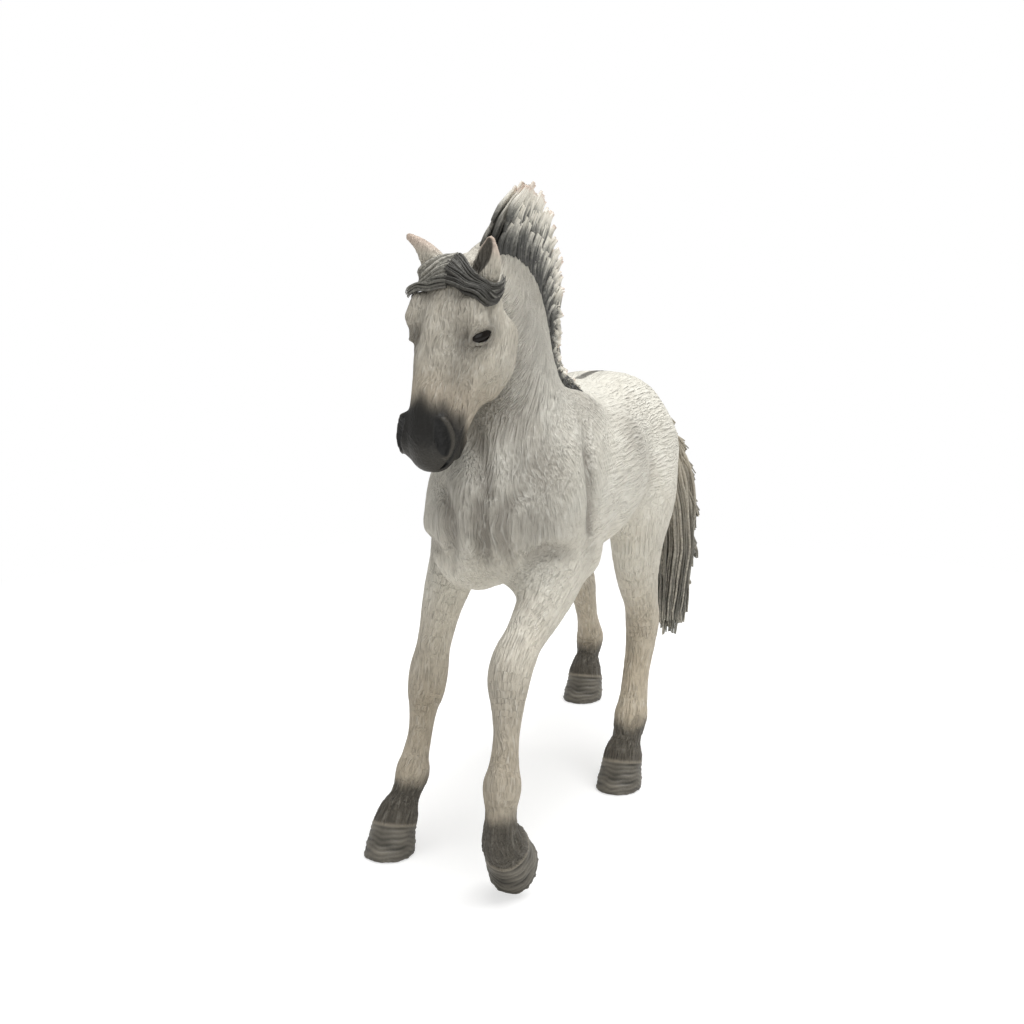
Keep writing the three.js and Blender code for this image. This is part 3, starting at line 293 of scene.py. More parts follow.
class Limb:
    """A bone or muscle: oval spans along a curve. A hollow one is cut from those before it."""

    def __init__(self, rows, blend, side=(0, 1, 0), hollow=False, keep=None):
        side = np.asarray(side, float)
        rows = np.asarray(rows, float)[:, [0, 1, 2, 3, -1]]
        points = through(rows, (len(rows) - 1) * SPANS_PER_STATION)
        if keep:
            points = points[: keep * SPANS_PER_STATION + 1]
        self.starts, self.girths = points[:-1, :3], points[:, 3:]
        along = np.diff(points[:, :3], axis=0)
        self.lengths = np.linalg.norm(along, axis=1)
        self.axes = along / self.lengths[:, None]
        self.across = unit(side - self.axes * (self.axes @ side)[:, None])
        self.before = np.cross(self.axes, self.across)
        self.travel = np.concatenate(((0,), np.cumsum(self.lengths)))
        self.blend, self.hollow = blend, hollow
        reach = self.girths.max()
        self.low, self.high = points[:, :3].min(0) - reach, points[:, :3].max(0) + reach

    def span(self, k, points):
        """Distance from the points to one span, and their place along and across it."""
        offset = points - self.starts[k]
        along = np.clip(offset @ self.axes[k], 0, self.lengths[k])
        share = along / self.lengths[k]
        breadth = self.girths[k, 0] + share * (self.girths[k + 1, 0] - self.girths[k, 0])
        depth = self.girths[k, 1] + share * (self.girths[k + 1, 1] - self.girths[k, 1])
        a, b = offset @ self.across[k], offset @ self.before[k]
        c = offset @ self.axes[k] - along
        far = np.sqrt(a * a + b * b + c * c)
        reach = np.sqrt((a / breadth) ** 2 + (b / depth) ** 2 + (c / np.minimum(breadth, depth)) ** 2)
        return far * (1 - 1 / np.maximum(reach, 1e-6)), self.travel[k] + along, a, b

    def distance(self, points):
        nearest = np.full(len(points), FAR)
        local = np.zeros((len(points), 3))
        for k in range(len(self.lengths)):
            own, *place = self.span(k, points)
            closer = own < nearest
            nearest[closer] = own[closer]
            local[closer] = np.stack(place, 1)[closer]
        return nearest, local


def beyond(points, seam):
    """How far the points lie past a seam, toward the piece that is set on there."""
    place, facing = (np.asarray(part, float) for part in seam)
    return (points - place) @ unit(facing)


def mirrored(rows, middle):
    return [(x, 2 * middle - y, z, *girths) for x, y, z, *girths in rows]


def pair(rows, blend, middle=0.5, **kind):
    """The limb on both sides of the middle plane."""
    return [Limb(rows, blend, **kind), Limb(mirrored(rows, middle), blend, **kind)]


def joined(skin, own, limb):
    """The skin with one more limb run smoothly into it."""
    side = -1 if limb.hollow else 1
    own = side * own
    overlap = np.maximum(limb.blend - np.abs(skin - own), 0) / limb.blend if limb.blend else 0
    return side * np.minimum(side * skin, side * own) - side * overlap * overlap * limb.blend / 4


class Block:
    """A grid of points over a piece of the horse, and the skin's distance at each."""

    def __init__(self, low, high, pitch):
        self.pitch = pitch
        self.first = np.floor(np.asarray(low, float) / pitch).astype(int) - 2
        self.counts = np.ceil(np.asarray(high, float) / pitch).astype(int) + 3 - self.first
        self.lines = [(self.first[axis] + np.arange(self.counts[axis])) * pitch for axis in range(3)]
        self.values = np.full(self.counts, FAR)

    def window(self, low, high):
        """The slices of the grid between two corners."""
        start = np.clip(np.floor(low / self.pitch).astype(int) - self.first, 0, self.counts)
        stop = np.clip(np.ceil(high / self.pitch).astype(int) + 1 - self.first, 0, self.counts)
        return tuple(slice(a, b) for a, b in zip(start, stop))

    def points(self, window=(slice(None),) * 3):
        lines = (line[part] for line, part in zip(self.lines, window))
        return np.stack(np.meshgrid(*lines, indexing="ij"), -1)

    def limb_field(self, limb):
        field = np.full(self.counts, FAR)
        for k in range(len(limb.lengths)):
            reach = limb.girths[k : k + 2].max() + limb.blend + 2 * self.pitch
            end = limb.starts[k] + limb.axes[k] * limb.lengths[k]
            low, high = np.minimum(limb.starts[k], end), np.maximum(limb.starts[k], end)
            window = self.window(low - reach, high + reach)
            points = self.points(window)
            if points.size:
                own = limb.span(k, points.reshape(-1, 3))[0].reshape(points.shape[:3])
                field[window] = np.minimum(field[window], own)
        return field

    def add(self, limbs):
        for limb in limbs:
            self.values = joined(self.values, self.limb_field(limb), limb)
        return self

    def keep(self, seam, side):
        """Only what lies before the seam, for side 1, or past it, and a little more."""
        self.values = np.maximum(self.values, side * beyond(self.points(), seam) - SEAM_OVERLAP)
        return self

    def surface(self):
        """The closed net on the skin: points in millimetres and quads."""
        values = np.clip(self.values, -2 * self.pitch, 2 * self.pitch).astype(np.float32)
        border = np.ones(self.counts, bool)
        border[1:-1, 1:-1, 1:-1] = False
        values[border] = self.pitch
        grid = openvdb.FloatGrid(2 * self.pitch)
        grid.copyFromArray(values)
        points, quads = grid.convertToQuads(isovalue=0.0)
        return (points + self.first) * self.pitch, quads


def around(limbs, pitch):
    """A block with room for these limbs."""
    low = np.min([limb.low for limb in limbs], axis=0)
    return Block(low, np.max([limb.high for limb in limbs], axis=0), pitch)


def hashed(cells, seed):
    """A number from -1 to 1 that depends only on the cell and the seed."""
    primes = (73856093, 19349663, 83492791)
    mixed = np.bitwise_xor.reduce(cells * primes, axis=1) ^ seed * 2654435761
    mixed = (mixed ^ (mixed >> 13)) * 1274126177
    return ((mixed ^ (mixed >> 16)) & 65535) / 32767.5 - 1


def noise(points, seed):
    """Smooth noise from -1 to 1 with one wave to each unit."""
    cells = np.floor(points).astype(np.int64)
    share = points - cells
    share = share * share * (3 - 2 * share)
    total = np.zeros(len(points))
    for corner in np.ndindex(2, 2, 2):
        weight = np.prod(np.where(corner, share, 1 - share), axis=1)
        total += weight * hashed(cells + corner, seed)
    return total


BODY_STROKE, LEG_STROKE = (4.6, 0.46), (2.1, 0.4)  # length and width of a stroke of hair
STROKE_RELIEF = 0.05
stroke_wave = 0.55


def flow(guide, points, lean=None, stroke=BODY_STROKE):
    """Where the points lie along and across the strokes of the moulded hair, counted in strokes."""
    along, across, before = guide.distance(points)[1].T
    if lean is not None:
        cos, sin = np.cos(lean), np.sin(lean)
        along, before = along * cos + before * sin, before * cos - along * sin
    wave = stroke_wave * noise(np.stack((along / 3.4, across / 3.0, before / 3.0), 1), 41)
    return np.stack((along / stroke[0], (across + wave) / stroke[1], (before + wave) / stroke[1]), 1)


def fade(value, start, stop):
    """A smooth step from 0 at the start to 1 at the stop."""
    share = np.clip((value - start) / (stop - start), 0, 1)
    return share * share * (3 - 2 * share)


def spot_paint(points, spots):
    """Grey from the spots, both airbrushing and painted shade: each spot has a place, radii and a
    strength.
    """
    paint = np.zeros(len(points))
    for place, radii, strength in spots:
        off = (points - np.asarray(place)) / np.asarray(radii)
        paint = np.maximum(paint, strength * np.exp(-np.sum(off * off, axis=1)))
    return paint


def store(mesh, label, values):
    """A paint attribute on the points of a mesh: numbers or vectors."""
    values = np.asarray(values, np.float32)
    kind, field = ("FLOAT_VECTOR", "vector") if values.ndim == 2 else ("FLOAT", "value")
    mesh.attributes.new(label, kind, "POINT").data.foreach_set(field, values.ravel())


def settled(rough, name):
    """The plain mesh that an object's modifiers leave; the object itself goes."""
    ready = bpy.data.meshes.new_from_object(rough.evaluated_get(bpy.context.evaluated_depsgraph_get()))
    bpy.data.objects.remove(rough)
    ready.name = name
    return ready


def shown(name, mesh):
    """A mesh, shaded smooth, as an object in the scene."""
    mesh.polygons.foreach_set("use_smooth", np.ones(len(mesh.polygons), bool))
    return in_scene(name, mesh)


def moulding(name, points, quads, material, paint):
    """A plain mesh object from a net: smoothed once, given its relief and its paint attributes."""
    mesh = bpy.data.meshes.new(name)
    mesh.from_pydata(points.tolist(), [], quads.tolist())
    rough = in_scene(name + "_net", mesh)
    finer = rough.modifiers.new("finer", "SUBSURF")
    finer.levels = finer.render_levels = 1
    ready = settled(rough, name)
    if sum(face.area * face.center.dot(face.normal) for face in ready.polygons) < 0:
        ready.flip_normals()
    size = len(ready.vertices)
    ready.vertices.foreach_get("co", spots := np.empty(size * 3))
    ready.vertex_normals.foreach_get("vector", normals := np.empty(size * 3, np.float32))
    spots = spots.reshape(-1, 3)
    relief, layers = paint(spots)
    spots = spots + normals.reshape(-1, 3) * relief[:, None]
    ready.vertices.foreach_set("co", placed(spots).ravel())
    for label, values in layers.items():
        store(ready, label, values)
    ready.materials.append(material)
    ready.update()
    return shown(name, ready)


trunk = [
    Limb(trunk_rows, 0),
    Limb(withers_rows, 3.2),
    *pair(croup_rows, 3.2),
    *pair(shoulder_rows, 3.2),
    *pair(upper_arm_rows, 3.2),
    *pair(breast_rows, 3.2),
]
neck_limbs = [Limb(neck_rows, 5.0), Limb(neck_crest_rows, 3.2)]
leg_rows = {
    "left_foreleg": left_foreleg_rows,
    "right_foreleg": right_foreleg_rows,
    "left_hind_leg": left_hind_rows,
    "right_hind_leg": right_hind_rows,
}
leg_roots = {name: Limb(rows, 3.0, keep=3) for name, rows in leg_rows.items()}
breast_furrow = Limb(breast_furrow_rows, 2.0, hollow=True)
# Shallow folds between the muscles
fold_rows = (
    [
        (36.6, 7.6, 62.5, 0.6), (39.1, 5.7, 59.6, 1.1), (39.4, 5.1, 55.8, 1.3), (37.4, 5.7, 51.4, 1.1),
        (35.6, 6.4, 48.4, 0.6),
    ],
    [(35.8, 7.6, 49.5, 0.6), (35, 9.8, 51.9, 1.2), (32.5, 12, 52, 1.2), (27.8, 13.8, 50.9, 0.7)],
    [(17.5, 11.8, 71, 0.6), (21.2, 14, 65.7, 1.2), (22.6, 15, 61, 1.3), (23.1, 14.9, 54.3, 0.8)],
)
throat_rows = [
    (31.2, -3.7, 74, 0.7), (34.2, -1.5, 70.3, 1.2), (38, 1.2, 66, 1.3), (39.5, 2.6, 62.5, 0.8),
]
folds = [Limb(throat_rows, 1.8, hollow=True)]
folds += [limb for rows in fold_rows for limb in pair(rows, 1.8, hollow=True)]
# A fold on the left haunch only. It starts under the skin and opens in it as a small hollow.
haunch_rows = [(-30, 12.2, 58, 0.5), (-27, 14.4, 50, 0.9), (-25, 14.2, 43, 0.5)]
folds.append(Limb(haunch_rows, 1.8, hollow=True))
body_limbs = [*trunk, *neck_limbs, *leg_roots.values(), breast_furrow, *folds]

neck_seam = ((22, 0.3, 68.8), (0.504, 0, 0.864))
leg_seams = {
    "left_foreleg": ((31.5, 9.2, 43.4), (0.7, 0.1, -0.7)),
    "right_foreleg": ((20.8, -11.6, 43), (0.31, -0.16, -0.94)),
    "left_hind_leg": ((-15.8, 11, 43), (-0.15, 0, -0.99)),
    "right_hind_leg": ((-32, -10.9, 41.8), (-0.6, 0, -0.8)),
}
SEAM_OVERLAP = 0.6
# how far apart the points of each net stand, in mm
pitches = ((0.72, 0.62, 0.4, 0.45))
BARREL_PITCH, NECK_PITCH, HEAD_PITCH, LEG_PITCH = pitches
LEG_ROOM, LEG_SHELL = 1.5, 1.2

# The figure's grey airbrushing and painted shade, sprayed where the light would not reach: place, radii
# and strength of each pass.
grey_and_shade_spots = [
    ((39.2, 2, 57), (7, 7, 9), 0.5), ((39.5, -4.5, 57), (7, 6, 7), 0.5),
    ((35.5, 10, 57), (7, 6, 7), 0.55), ((33, 8, 66), (7, 7, 9), 0.55),
    ((31.5, 3.5, 75), (6, 7, 9), 0.6), ((29, 4.5, 80), (4, 4, 6), 0.5),
    ((33, 10.5, 51.6), (4.5, 3, 1.6), 0.3), ((27, -12, 50), (5, 5, 3), 0.6),
    ((23.2, 14.4, 55), (2, 3, 7), 0.5), ((21.5, 13.4, 65), (2.4, 3, 6), 0.4),
    ((10, 9, 73.4), (9, 6, 4.5), 0.42), ((-3, 14, 66), (7, 5, 6), 0.6),
    ((24, 6.5, 88), (4, 3, 7), 0.4), ((-12, 13, 60), (3.5, 5, 8), 0.35),
    ((30, -6, 68), (5, 5, 9), 0.4), ((-36, 6, 58), (5, 6, 8), 0.25),
    ((-9, -13, 55), (4, 6, 9), 0.45),
]
# The hair runs along these.
barrel_guide = Limb([(-60, 0.5, 60, 9), (-20, 0.5, 61, 9), (20, 0.5, 60, 9), (60, 0.5, 56, 9)], 0)
neck_guide = Limb([(26, 0.5, 20, 9), (24, -0.5, 120, 9)], 0)
leg_guides = {name: Limb(rows, 0) for name, rows in leg_rows.items()}


def neck_flow(points):
    """The neck's hair leans back more and more toward the crest."""
    height = beyond(points, neck_seam)
    return flow(neck_guide, points, lean=math.radians(48) * fade(height, 2, 30) - math.radians(6))


def fold_wash_and_shade(points):
    """Grey in the folds: painted shade, and the thin wash that has run into them."""
    wash = np.zeros(len(points))
    for limb in (*folds, breast_furrow):
        near = np.flatnonzero(np.all((points > limb.low - 1) & (points < limb.high + 1), axis=1))
        if near.size:
            wash[near] = np.maximum(wash[near], fade(-limb.distance(points[near])[0], -0.9, 0.25))
    return wash


def layers_of(points, **more):
    """The paint that body, neck and legs share, and what a piece has of its own: warm white on the back
    and beige down the legs, a thin grey over chest and neck, fainter on the croup and gone below, and
    the grey spots, which are partly painted shade."""
    x, _, z = points.T
    grey = spot_paint(points, grey_and_shade_spots) + 0.32 * fade(z, 45, 60) * (0.3 + 0.7 * fade(x, 0, 20))
    return {"grey": grey, "warm": 0.08 + 0.22 * fade(-z, -62, -44) + 0.66 * fade(-z, -46, -20), **more}


def coat_paint(points):
    neck_share = np.maximum(fade(beyond(points, neck_seam), -15, -3), fade(points[:, 0], 25, 33))
    leg_share, leg_flow = np.zeros(len(points)), np.zeros((len(points), 3))
    for name, guide in leg_guides.items():
        depth = beyond(points, leg_seams[name])
        near = (depth > -20) & np.all((points > guide.low - 6) & (points < guide.high + 6), axis=1)
        share = fade(depth[near], -18, -4) * fade(-guide.distance(points[near])[0], -4.5, -1.5)
        chosen = np.flatnonzero(near)[share > leg_share[near]]
        leg_share[near] = np.maximum(share, leg_share[near])
        leg_flow[chosen] = flow(guide, points[chosen], stroke=LEG_STROKE)
    barrel_flow, breast_flow = flow(barrel_guide, points), neck_flow(points)
    hair = noise(barrel_flow, 1) * (1 - neck_share) + noise(breast_flow, 1) * neck_share
    hair = hair * (1 - leg_share) + noise(leg_flow, 1) * leg_share
    stripe = fade(-np.abs(points[:, 1] - 0.6 + 0.25 * noise(points / 5, 3)), -0.95, -0.6)
    back = -points[:, 0]
    stripe *= fade(points[:, 2], 70.5, 72) * fade(back, -6, -3) * (1 - fade(back, 34, 37))
    layers = layers_of(points, flow0=barrel_flow, flow1=breast_flow, flow2=leg_flow, dark=0.85 * stripe)
    layers |= {"share1": neck_share, "share2": leg_share}
    # painted shade and wash in the folds
    layers["grey"] += 0.4 * fold_wash_and_shade(points)
    return hair * STROKE_RELIEF, layers


def neck_paint(points):
    own = neck_flow(points)
    layers = layers_of(points, flow0=own)
    # painted shade and wash in the folds
    layers["grey"] += 0.4 * fold_wash_and_shade(points)
    layers["warm"] += 0.2 * fade(points[:, 2], 80, 96)
    return noise(own, 1) * STROKE_RELIEF, layers


WARM_WHITE, BEIGE = (0.74, 0.72, 0.64), (0.49, 0.42, 0.315)
# Grey for the figure's airbrushing and also for painted shade; pink for bare skin.
GREY_AND_SHADE, SKIN_PINK = (0.23, 0.21, 0.18), (0.60, 0.46, 0.385)
CHARCOAL, MUZZLE_BLACK = (0.062, 0.056, 0.045), (0.014, 0.014, 0.0135)


def coat_finish(name):
    """Grey wash and painted shade in the strokes, warm white and painted highlight on their ridges,
    brown and charcoal sprayed over them.
    """
    coat = Finish(name, Roughness=0.55, Specular_IOR_Level=0.3)
    hair = None
    for order in range(3):
        place = coat.attribute(f"flow{order}", output=1)
        own = (coat.noise(1.0, 1.4, 0.5, vector=place) - 0.5) * 2.8
        share = coat.attribute(f"share{order}")
        hair = own if hair is None else hair + (own - hair) * share
    hair = hair * (1.0 - coat.attribute("smooth"))
    cloud = coat.noise(140.0, 3.0, 0.6)
    fine = coat.noise(2600.0, 2.0, 0.6)
    grey = (coat.attribute("grey") + (cloud - 0.5) * 0.25).clamped()
    warm = (coat.attribute("warm") + (cloud - 0.5) * 0.5).clamped()
    # The charcoal is a little deeper in the grooves of the strokes: painted shade.
    dark = (coat.attribute("dark") + (fine - 0.5) * 0.2 - hair * 0.06).clamped()
    hoof = coat.attribute("hoof").clamped()
    groove_shade = ((fine - 0.5) * 0.3 - hair).clamped()
    ridge_highlight = (hair * 1.1 - 0.1 + (fine - 0.5) * 0.3).clamped()
    black = coat.attribute("black").clamped()
    colour = warm.mix(WARM_WHITE, BEIGE)
    # The figure's grey, with the painted shade from the spots and the folds.
    colour = (grey * 0.85).mix(colour, GREY_AND_SHADE)
    # Painted shade darkens the grooves of the strokes and painted highlight lightens their ridges, over
    # the wash and drybrush.
    colour = (groove_shade * 0.42).mix(colour, (0.2, 0.185, 0.155))
    colour = (ridge_highlight * 0.4).mix(colour, (0.84, 0.83, 0.77))
    colour = coat.attribute("pink").clamped().mix(colour, SKIN_PINK)
    colour = dark.mix(colour, CHARCOAL)
    colour = black.mix(colour, MUZZLE_BLACK)
    # Painted highlight on the ridges where the coat is charcoal.
    colour = (ridge_highlight * dark * (1.0 - black) * 0.4).mix(colour, (0.33, 0.31, 0.27))
    ring = coat.attribute("ring") + (fine - 0.5) * 0.6
    horn = (ring * 0.3 + (cloud - 0.5) * 0.9 + 0.42).clamped()
    colour = hoof.mix(colour, horn.mix((0.06, 0.056, 0.047), (0.25, 0.23, 0.19)))
    coat.feed("Base Color", colour)
    coat.feed("Roughness", 0.6 - dark * 0.12 - hoof * 0.18 + (fine - 0.5) * 0.12)
    coat.bump(hair * 0.5 + fine * 0.16, 0.00062, 1.0)
    return coat.material


block = around([*trunk, *leg_roots.values()], BARREL_PITCH)
block.add(body_limbs).keep(neck_seam, 1)
for name, seam in leg_seams.items():
    room = block.limb_field(leg_guides[name]) - LEG_ROOM
    depth = beyond(block.points(), seam)
    block.values = np.maximum(block.values, -np.maximum(room, SEAM_OVERLAP - depth))
body = moulding("body_skin", *block.surface(), coat_finish("pale_coat"), coat_paint)
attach(body, "root")
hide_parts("body")

# THE NECK
# One moulding from the breast to behind the jowl, set on the body along a slanting seam. It is
# strongly arched, and its crest carries the mane.
neck_low, neck_high = (4, -15, 56), (42, 15, 104)
block = Block(neck_low, neck_high, NECK_PITCH).add(body_limbs).keep(neck_seam, -1)
neck = moulding("neck_skin", *block.surface(), coat_finish("coat"), neck_paint)
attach(neck, "root")
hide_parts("neck")

# THE HEAD
# Skull, jowls, jaw, lips, ears and lids in one moulding, pegged to the neck in the crease behind the
# jowl. It is turned to the horse's right. The muzzle is painted near black, the face beige grey.
poll = (38, -4.8, 99.2)
# the eye: its middle, its half-sizes and its own axes (toward the ear, up the brow, outward)
eye_place = np.array((11.05, 6.0, -4.65))
eye_radii = np.array((2.5, 1.45, 1.5))
eye_axes = np.array(((-0.628, 0.386, -0.676), (-0.776, -0.378, 0.505), (-0.061, 0.842, 0.537)))
upper_lid_rows, lower_lid_rows = [], []
for bend in np.linspace(-1, 1, 7):
    arch = 1 - bend * bend
    rise = 1.45 - 0.75 * bend * bend
    upper, lower = np.array(((bend * 2.5, arch * 1.4, rise), (bend * 2.45, -arch * 1.3, rise - 0.1)))
    upper_lid_rows.append((*(eye_place + upper @ eye_axes), 0.34 + 0.12 * arch))
    lower_lid_rows.append((*(eye_place + lower @ eye_axes), 0.34))

ONE, TWIN, FULL, HOLLOW = False, True, False, True
# Each form of the head: its blend, whether it has a twin on the other side and whether it is hollow,
# and its rows down the face, to the left and out of it. Each is joined to, or cut from, those before.
head_forms = {
    "skull": (3.0, ONE, FULL, [
        (3.4, 0, -6.8, 5.4, 5.2), (7.4, 0, -6.8, 7, 6.2), (12, 0, -7.2, 6.9, 6.8),
        (17.5, 0, -6.6, 5.7, 5.7), (22.6, 0.1, -5.8, 4.6, 4.8), (27, 0.2, -5.8, 4.5, 4.6),
        (29.5, 0.2, -6.3, 3.9, 3.6),
    ]),
    "brow": (1.2, TWIN, FULL, [(6.8, 5, -2.8, 2.3, 1.9), (9, 6.2, -3.1, 1.9, 1.7)]),
    "jowl": (1.8, TWIN, FULL, [
        (8.4, 4, -11.5, 2.8, 4.6), (13.5, 4.2, -11.2, 3, 5.2), (17.5, 3.6, -10.6, 2.4, 4.2),
    ]),
    "jaw": (1.8, TWIN, FULL, [(18, 2.3, -10.8, 2, 2.4), (25, 1.5, -9.2, 1.8, 1.7)]),
    "facial_crest": (1.0, TWIN, FULL, [(13, 6.1, -6, 1.1, 1.3), (19.5, 5.5, -5.6, 0.9, 1.1)]),
    "nostril_rim": (1.0, TWIN, FULL, [
        (25.8, 3.5, -3.3, 1.4, 1.8), (28, 3.6, -4.1, 1.6, 2.2), (29.6, 3, -5.2, 1.4, 1.8),
    ]),
    "lower_lip": (1.0, ONE, FULL, [(26.6, 0.1, -9.4, 2.6, 1.9), (29.2, 0.1, -9.3, 2.7, 1.7)]),
    "chin": (0.8, ONE, FULL, [(26.4, 1, -11.2, 1.6, 1.1), (28.6, 0, -11, 2.2, 1.3)]),
    "left_ear": (1.2, ONE, FULL, [
        (2, 4.2, -5.5, 2, 1.9), (-0.2, 4.8, -4.7, 2.4, 1.9), (-2.3, 5.4, -3.7, 1.8, 1.3),
        (-4.1, 5.8, -2.9, 0.8, 0.7),
    ]),
    "right_ear": (1.2, ONE, FULL, [
        (1.4, -4.4, -5.1, 2, 1.9), (-0.5, -5.9, -3.9, 2.4, 1.9), (-2.3, -7.5, -2.3, 1.8, 1.3),
        (-3.6, -9.1, -0.9, 0.8, 0.7),
    ]),
    "left_ear_hollow": (0.5, ONE, HOLLOW, [
        (-4, 6, -1.8, 0.5, 0.5), (-2.8, 5.7, -2, 1, 1), (-1.2, 5, -2.2, 1.35, 1.3),
        (0.4, 4, -2.7, 1, 1),
    ]),
    "right_ear_hollow": (0.5, ONE, HOLLOW, [
        (-3.4, -9.9, -1.2, 0.5, 0.5), (-2.2, -8.9, -2, 0.9, 0.9), (-0.6, -7.4, -3.4, 1, 1.1),
        (0.8, -6.2, -4.6, 0.8, 0.8),
    ]),
    "brow_hollow": (1.6, TWIN, HOLLOW, [
        (9.4, 4.2, -0.6, 0.6), (12, 4.6, -1.4, 1), (14.8, 4.4, -1.2, 0.6),
    ]),
    "cheek_hollow": (1.8, TWIN, HOLLOW, [
        (14.8, 7.2, -4, 0.5), (18.5, 6.4, -3.8, 1.1), (22.5, 5.6, -4, 1.1), (25, 5, -4.8, 0.6),
    ]),
    "cheek_strap": (0.8, TWIN, FULL, [
        (18.2, 5.6, -6.4, 0.7), (21.5, 5, -6.5, 0.9), (24.8, 4.6, -6.4, 0.6),
    ]),
    "nostril_edge": (0.9, TWIN, FULL, [
        (25.2, 4.2, -2.6, 0.4), (26.6, 5.1, -3.5, 0.5), (28.8, 5.4, -4.2, 0.5), (30.6, 4.6, -4.6, 0.4),
    ]),
    "upper_lid": (0.9, TWIN, FULL, upper_lid_rows),
    "lower_lid": (0.7, TWIN, FULL, lower_lid_rows),
    "nostril": (0.5, TWIN, HOLLOW, [
        (25.7, 3.6, -1.7, 0.5, 0.5), (27, 4.4, -2, 1.1, 1), (28.5, 4.8, -2.6, 1.25, 1.1),
        (30, 4.6, -3.6, 0.6, 0.6),
    ]),
    "mouth": (0.3, TWIN, HOLLOW, [
        (24.8, 4.7, -7.6, 0.3), (26.8, 5, -7, 0.4), (29.2, 4.7, -6.6, 0.4), (31.2, 3.4, -6.5, 0.4),
        (32.4, 0, -6.6, 0.4),
    ]),
}
turn = np.eye(3)
for angle, axis in ((-16, "Z"), (71, "Y"), (-0.5, "X")):
    turn = turn @ np.array(Matrix.Rotation(math.radians(angle), 3, axis))


def on_head(rows):
    """Rows given down the face, to its left and out of it, as places on the horse."""
    rows = np.asarray(rows, float)
    return np.hstack((rows[:, :3] @ turn.T + poll, rows[:, 3:]))


def head_limb(name, side=1, blend=None):
    """One form of the head, or for side -1 its twin."""
    own_blend, _, hollow, rows = head_forms[name]
    rows = on_head(rows if side > 0 else mirrored(rows, 0))
    return Limb(rows, own_blend if blend is None else blend, side=turn[:, 1], hollow=hollow)


def head_sides(name):
    return (1, -1) if head_forms[name][1] else (1,)


head_limbs = [head_limb(name, side) for name in head_forms for side in head_sides(name)]
FACE_STROKE, FACE_RELIEF = (1.7, 0.36), 0.035


def carved(points, *names):
    """Where the skin follows these forms or hollows: 1 on them, 0 away from them."""
    inside = np.zeros(len(points))
    for name in names:
        for side in head_sides(name):
            depth = -head_limb(name, side).distance(points)[0]
            inside = np.maximum(inside, fade(depth, -0.4, -0.1))
    return inside


# Painted shade on the face: behind the mouth, beside the bridge, over the eye and below the forelock
face_shade_spots = [
    ((20.5, 5, -7.6), (3.2, 2, 3.2), 0.15), ((16.5, 4.6, -3), (5, 2.2, 2.5), 0.55),
    ((10.6, 3.4, -1.2), (3.6, 1.6, 2), 0.4), ((5.6, 3.5, -2), (1.6, 3, 3), 0.6),
]


def face_paint(points):
    down, left, out = ((points - poll) @ turn).T
    wave = 0.5 * noise(points / 2.4, 42)
    spread = left * (1 - 0.018 * down)
    length, width = FACE_STROKE
    own = np.stack((down / length, (spread + wave) / width, (out + wave) / width), 1)
    muzzle = fade(down + 0.7 * noise(points / 2.2, 5) + 0.4 * (out + 3.5), 21.2, 25.6)
    # painted highlight: the front of the lips is kept less black
    lip_highlight = fade(down, 28.5, 31.5)
    eyes = np.zeros(len(points))
    for side in (-1, 1):
        off = np.stack((down, left * side, out), 1) - eye_place
        off = (off @ eye_axes.T) / (3.1, 1.9, 2.4)
        eyes = np.maximum(eyes, np.exp(-np.sum(off * off, axis=1)))
    ears = fade(-down, -0.5, 2.0) * fade(np.abs(left), 3.5, 4.5)
    inner = carved(points, "left_ear_hollow", "right_ear_hollow")
    holes, rim_highlight = carved(points, "nostril", "mouth"), carved(points, "nostril_edge")
    # painted shade from the face spots
    fold = spot_paint(np.stack((down, np.abs(left), out), 1), face_shade_spots)
    layers = {
        "flow0": own,
        "smooth": np.maximum(0.8 * muzzle, 0.5 * ears),
        # Painted shade: the face spots, and grey deepening under the head toward the throat.
        "grey": 0.16 + 0.95 * eyes + fold + 0.15 * fade(-out, 9, 14) + 0.1 * ears,
        "warm": 0.5 + 0.35 * fade(down, 14, 22) + 0.4 * fade(-down, 2.5, 4.5),
        "pink": 0.6 * fade(-down, 0.6, 3.4) * ears + 0.06 * fade(down, 17, 21),
        "dark": np.maximum(np.maximum(muzzle, 0.75 * eyes), 0.95 * inner),
        # The muzzle's black paint is kept lighter on the lips and the nostril rims as painted
        # highlight.
        "black": np.maximum(0.88 * muzzle * (1 - 0.35 * lip_highlight) * (1 - 0.7 * rim_highlight), holes),
    }
    return noise(own, 1) * FACE_RELIEF * (1 - muzzle), layers


block = around(head_limbs, HEAD_PITCH).add(head_limbs)
head = moulding("head_skin", *block.surface(), coat_finish("face"), face_paint)
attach(head, "root")
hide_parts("head")

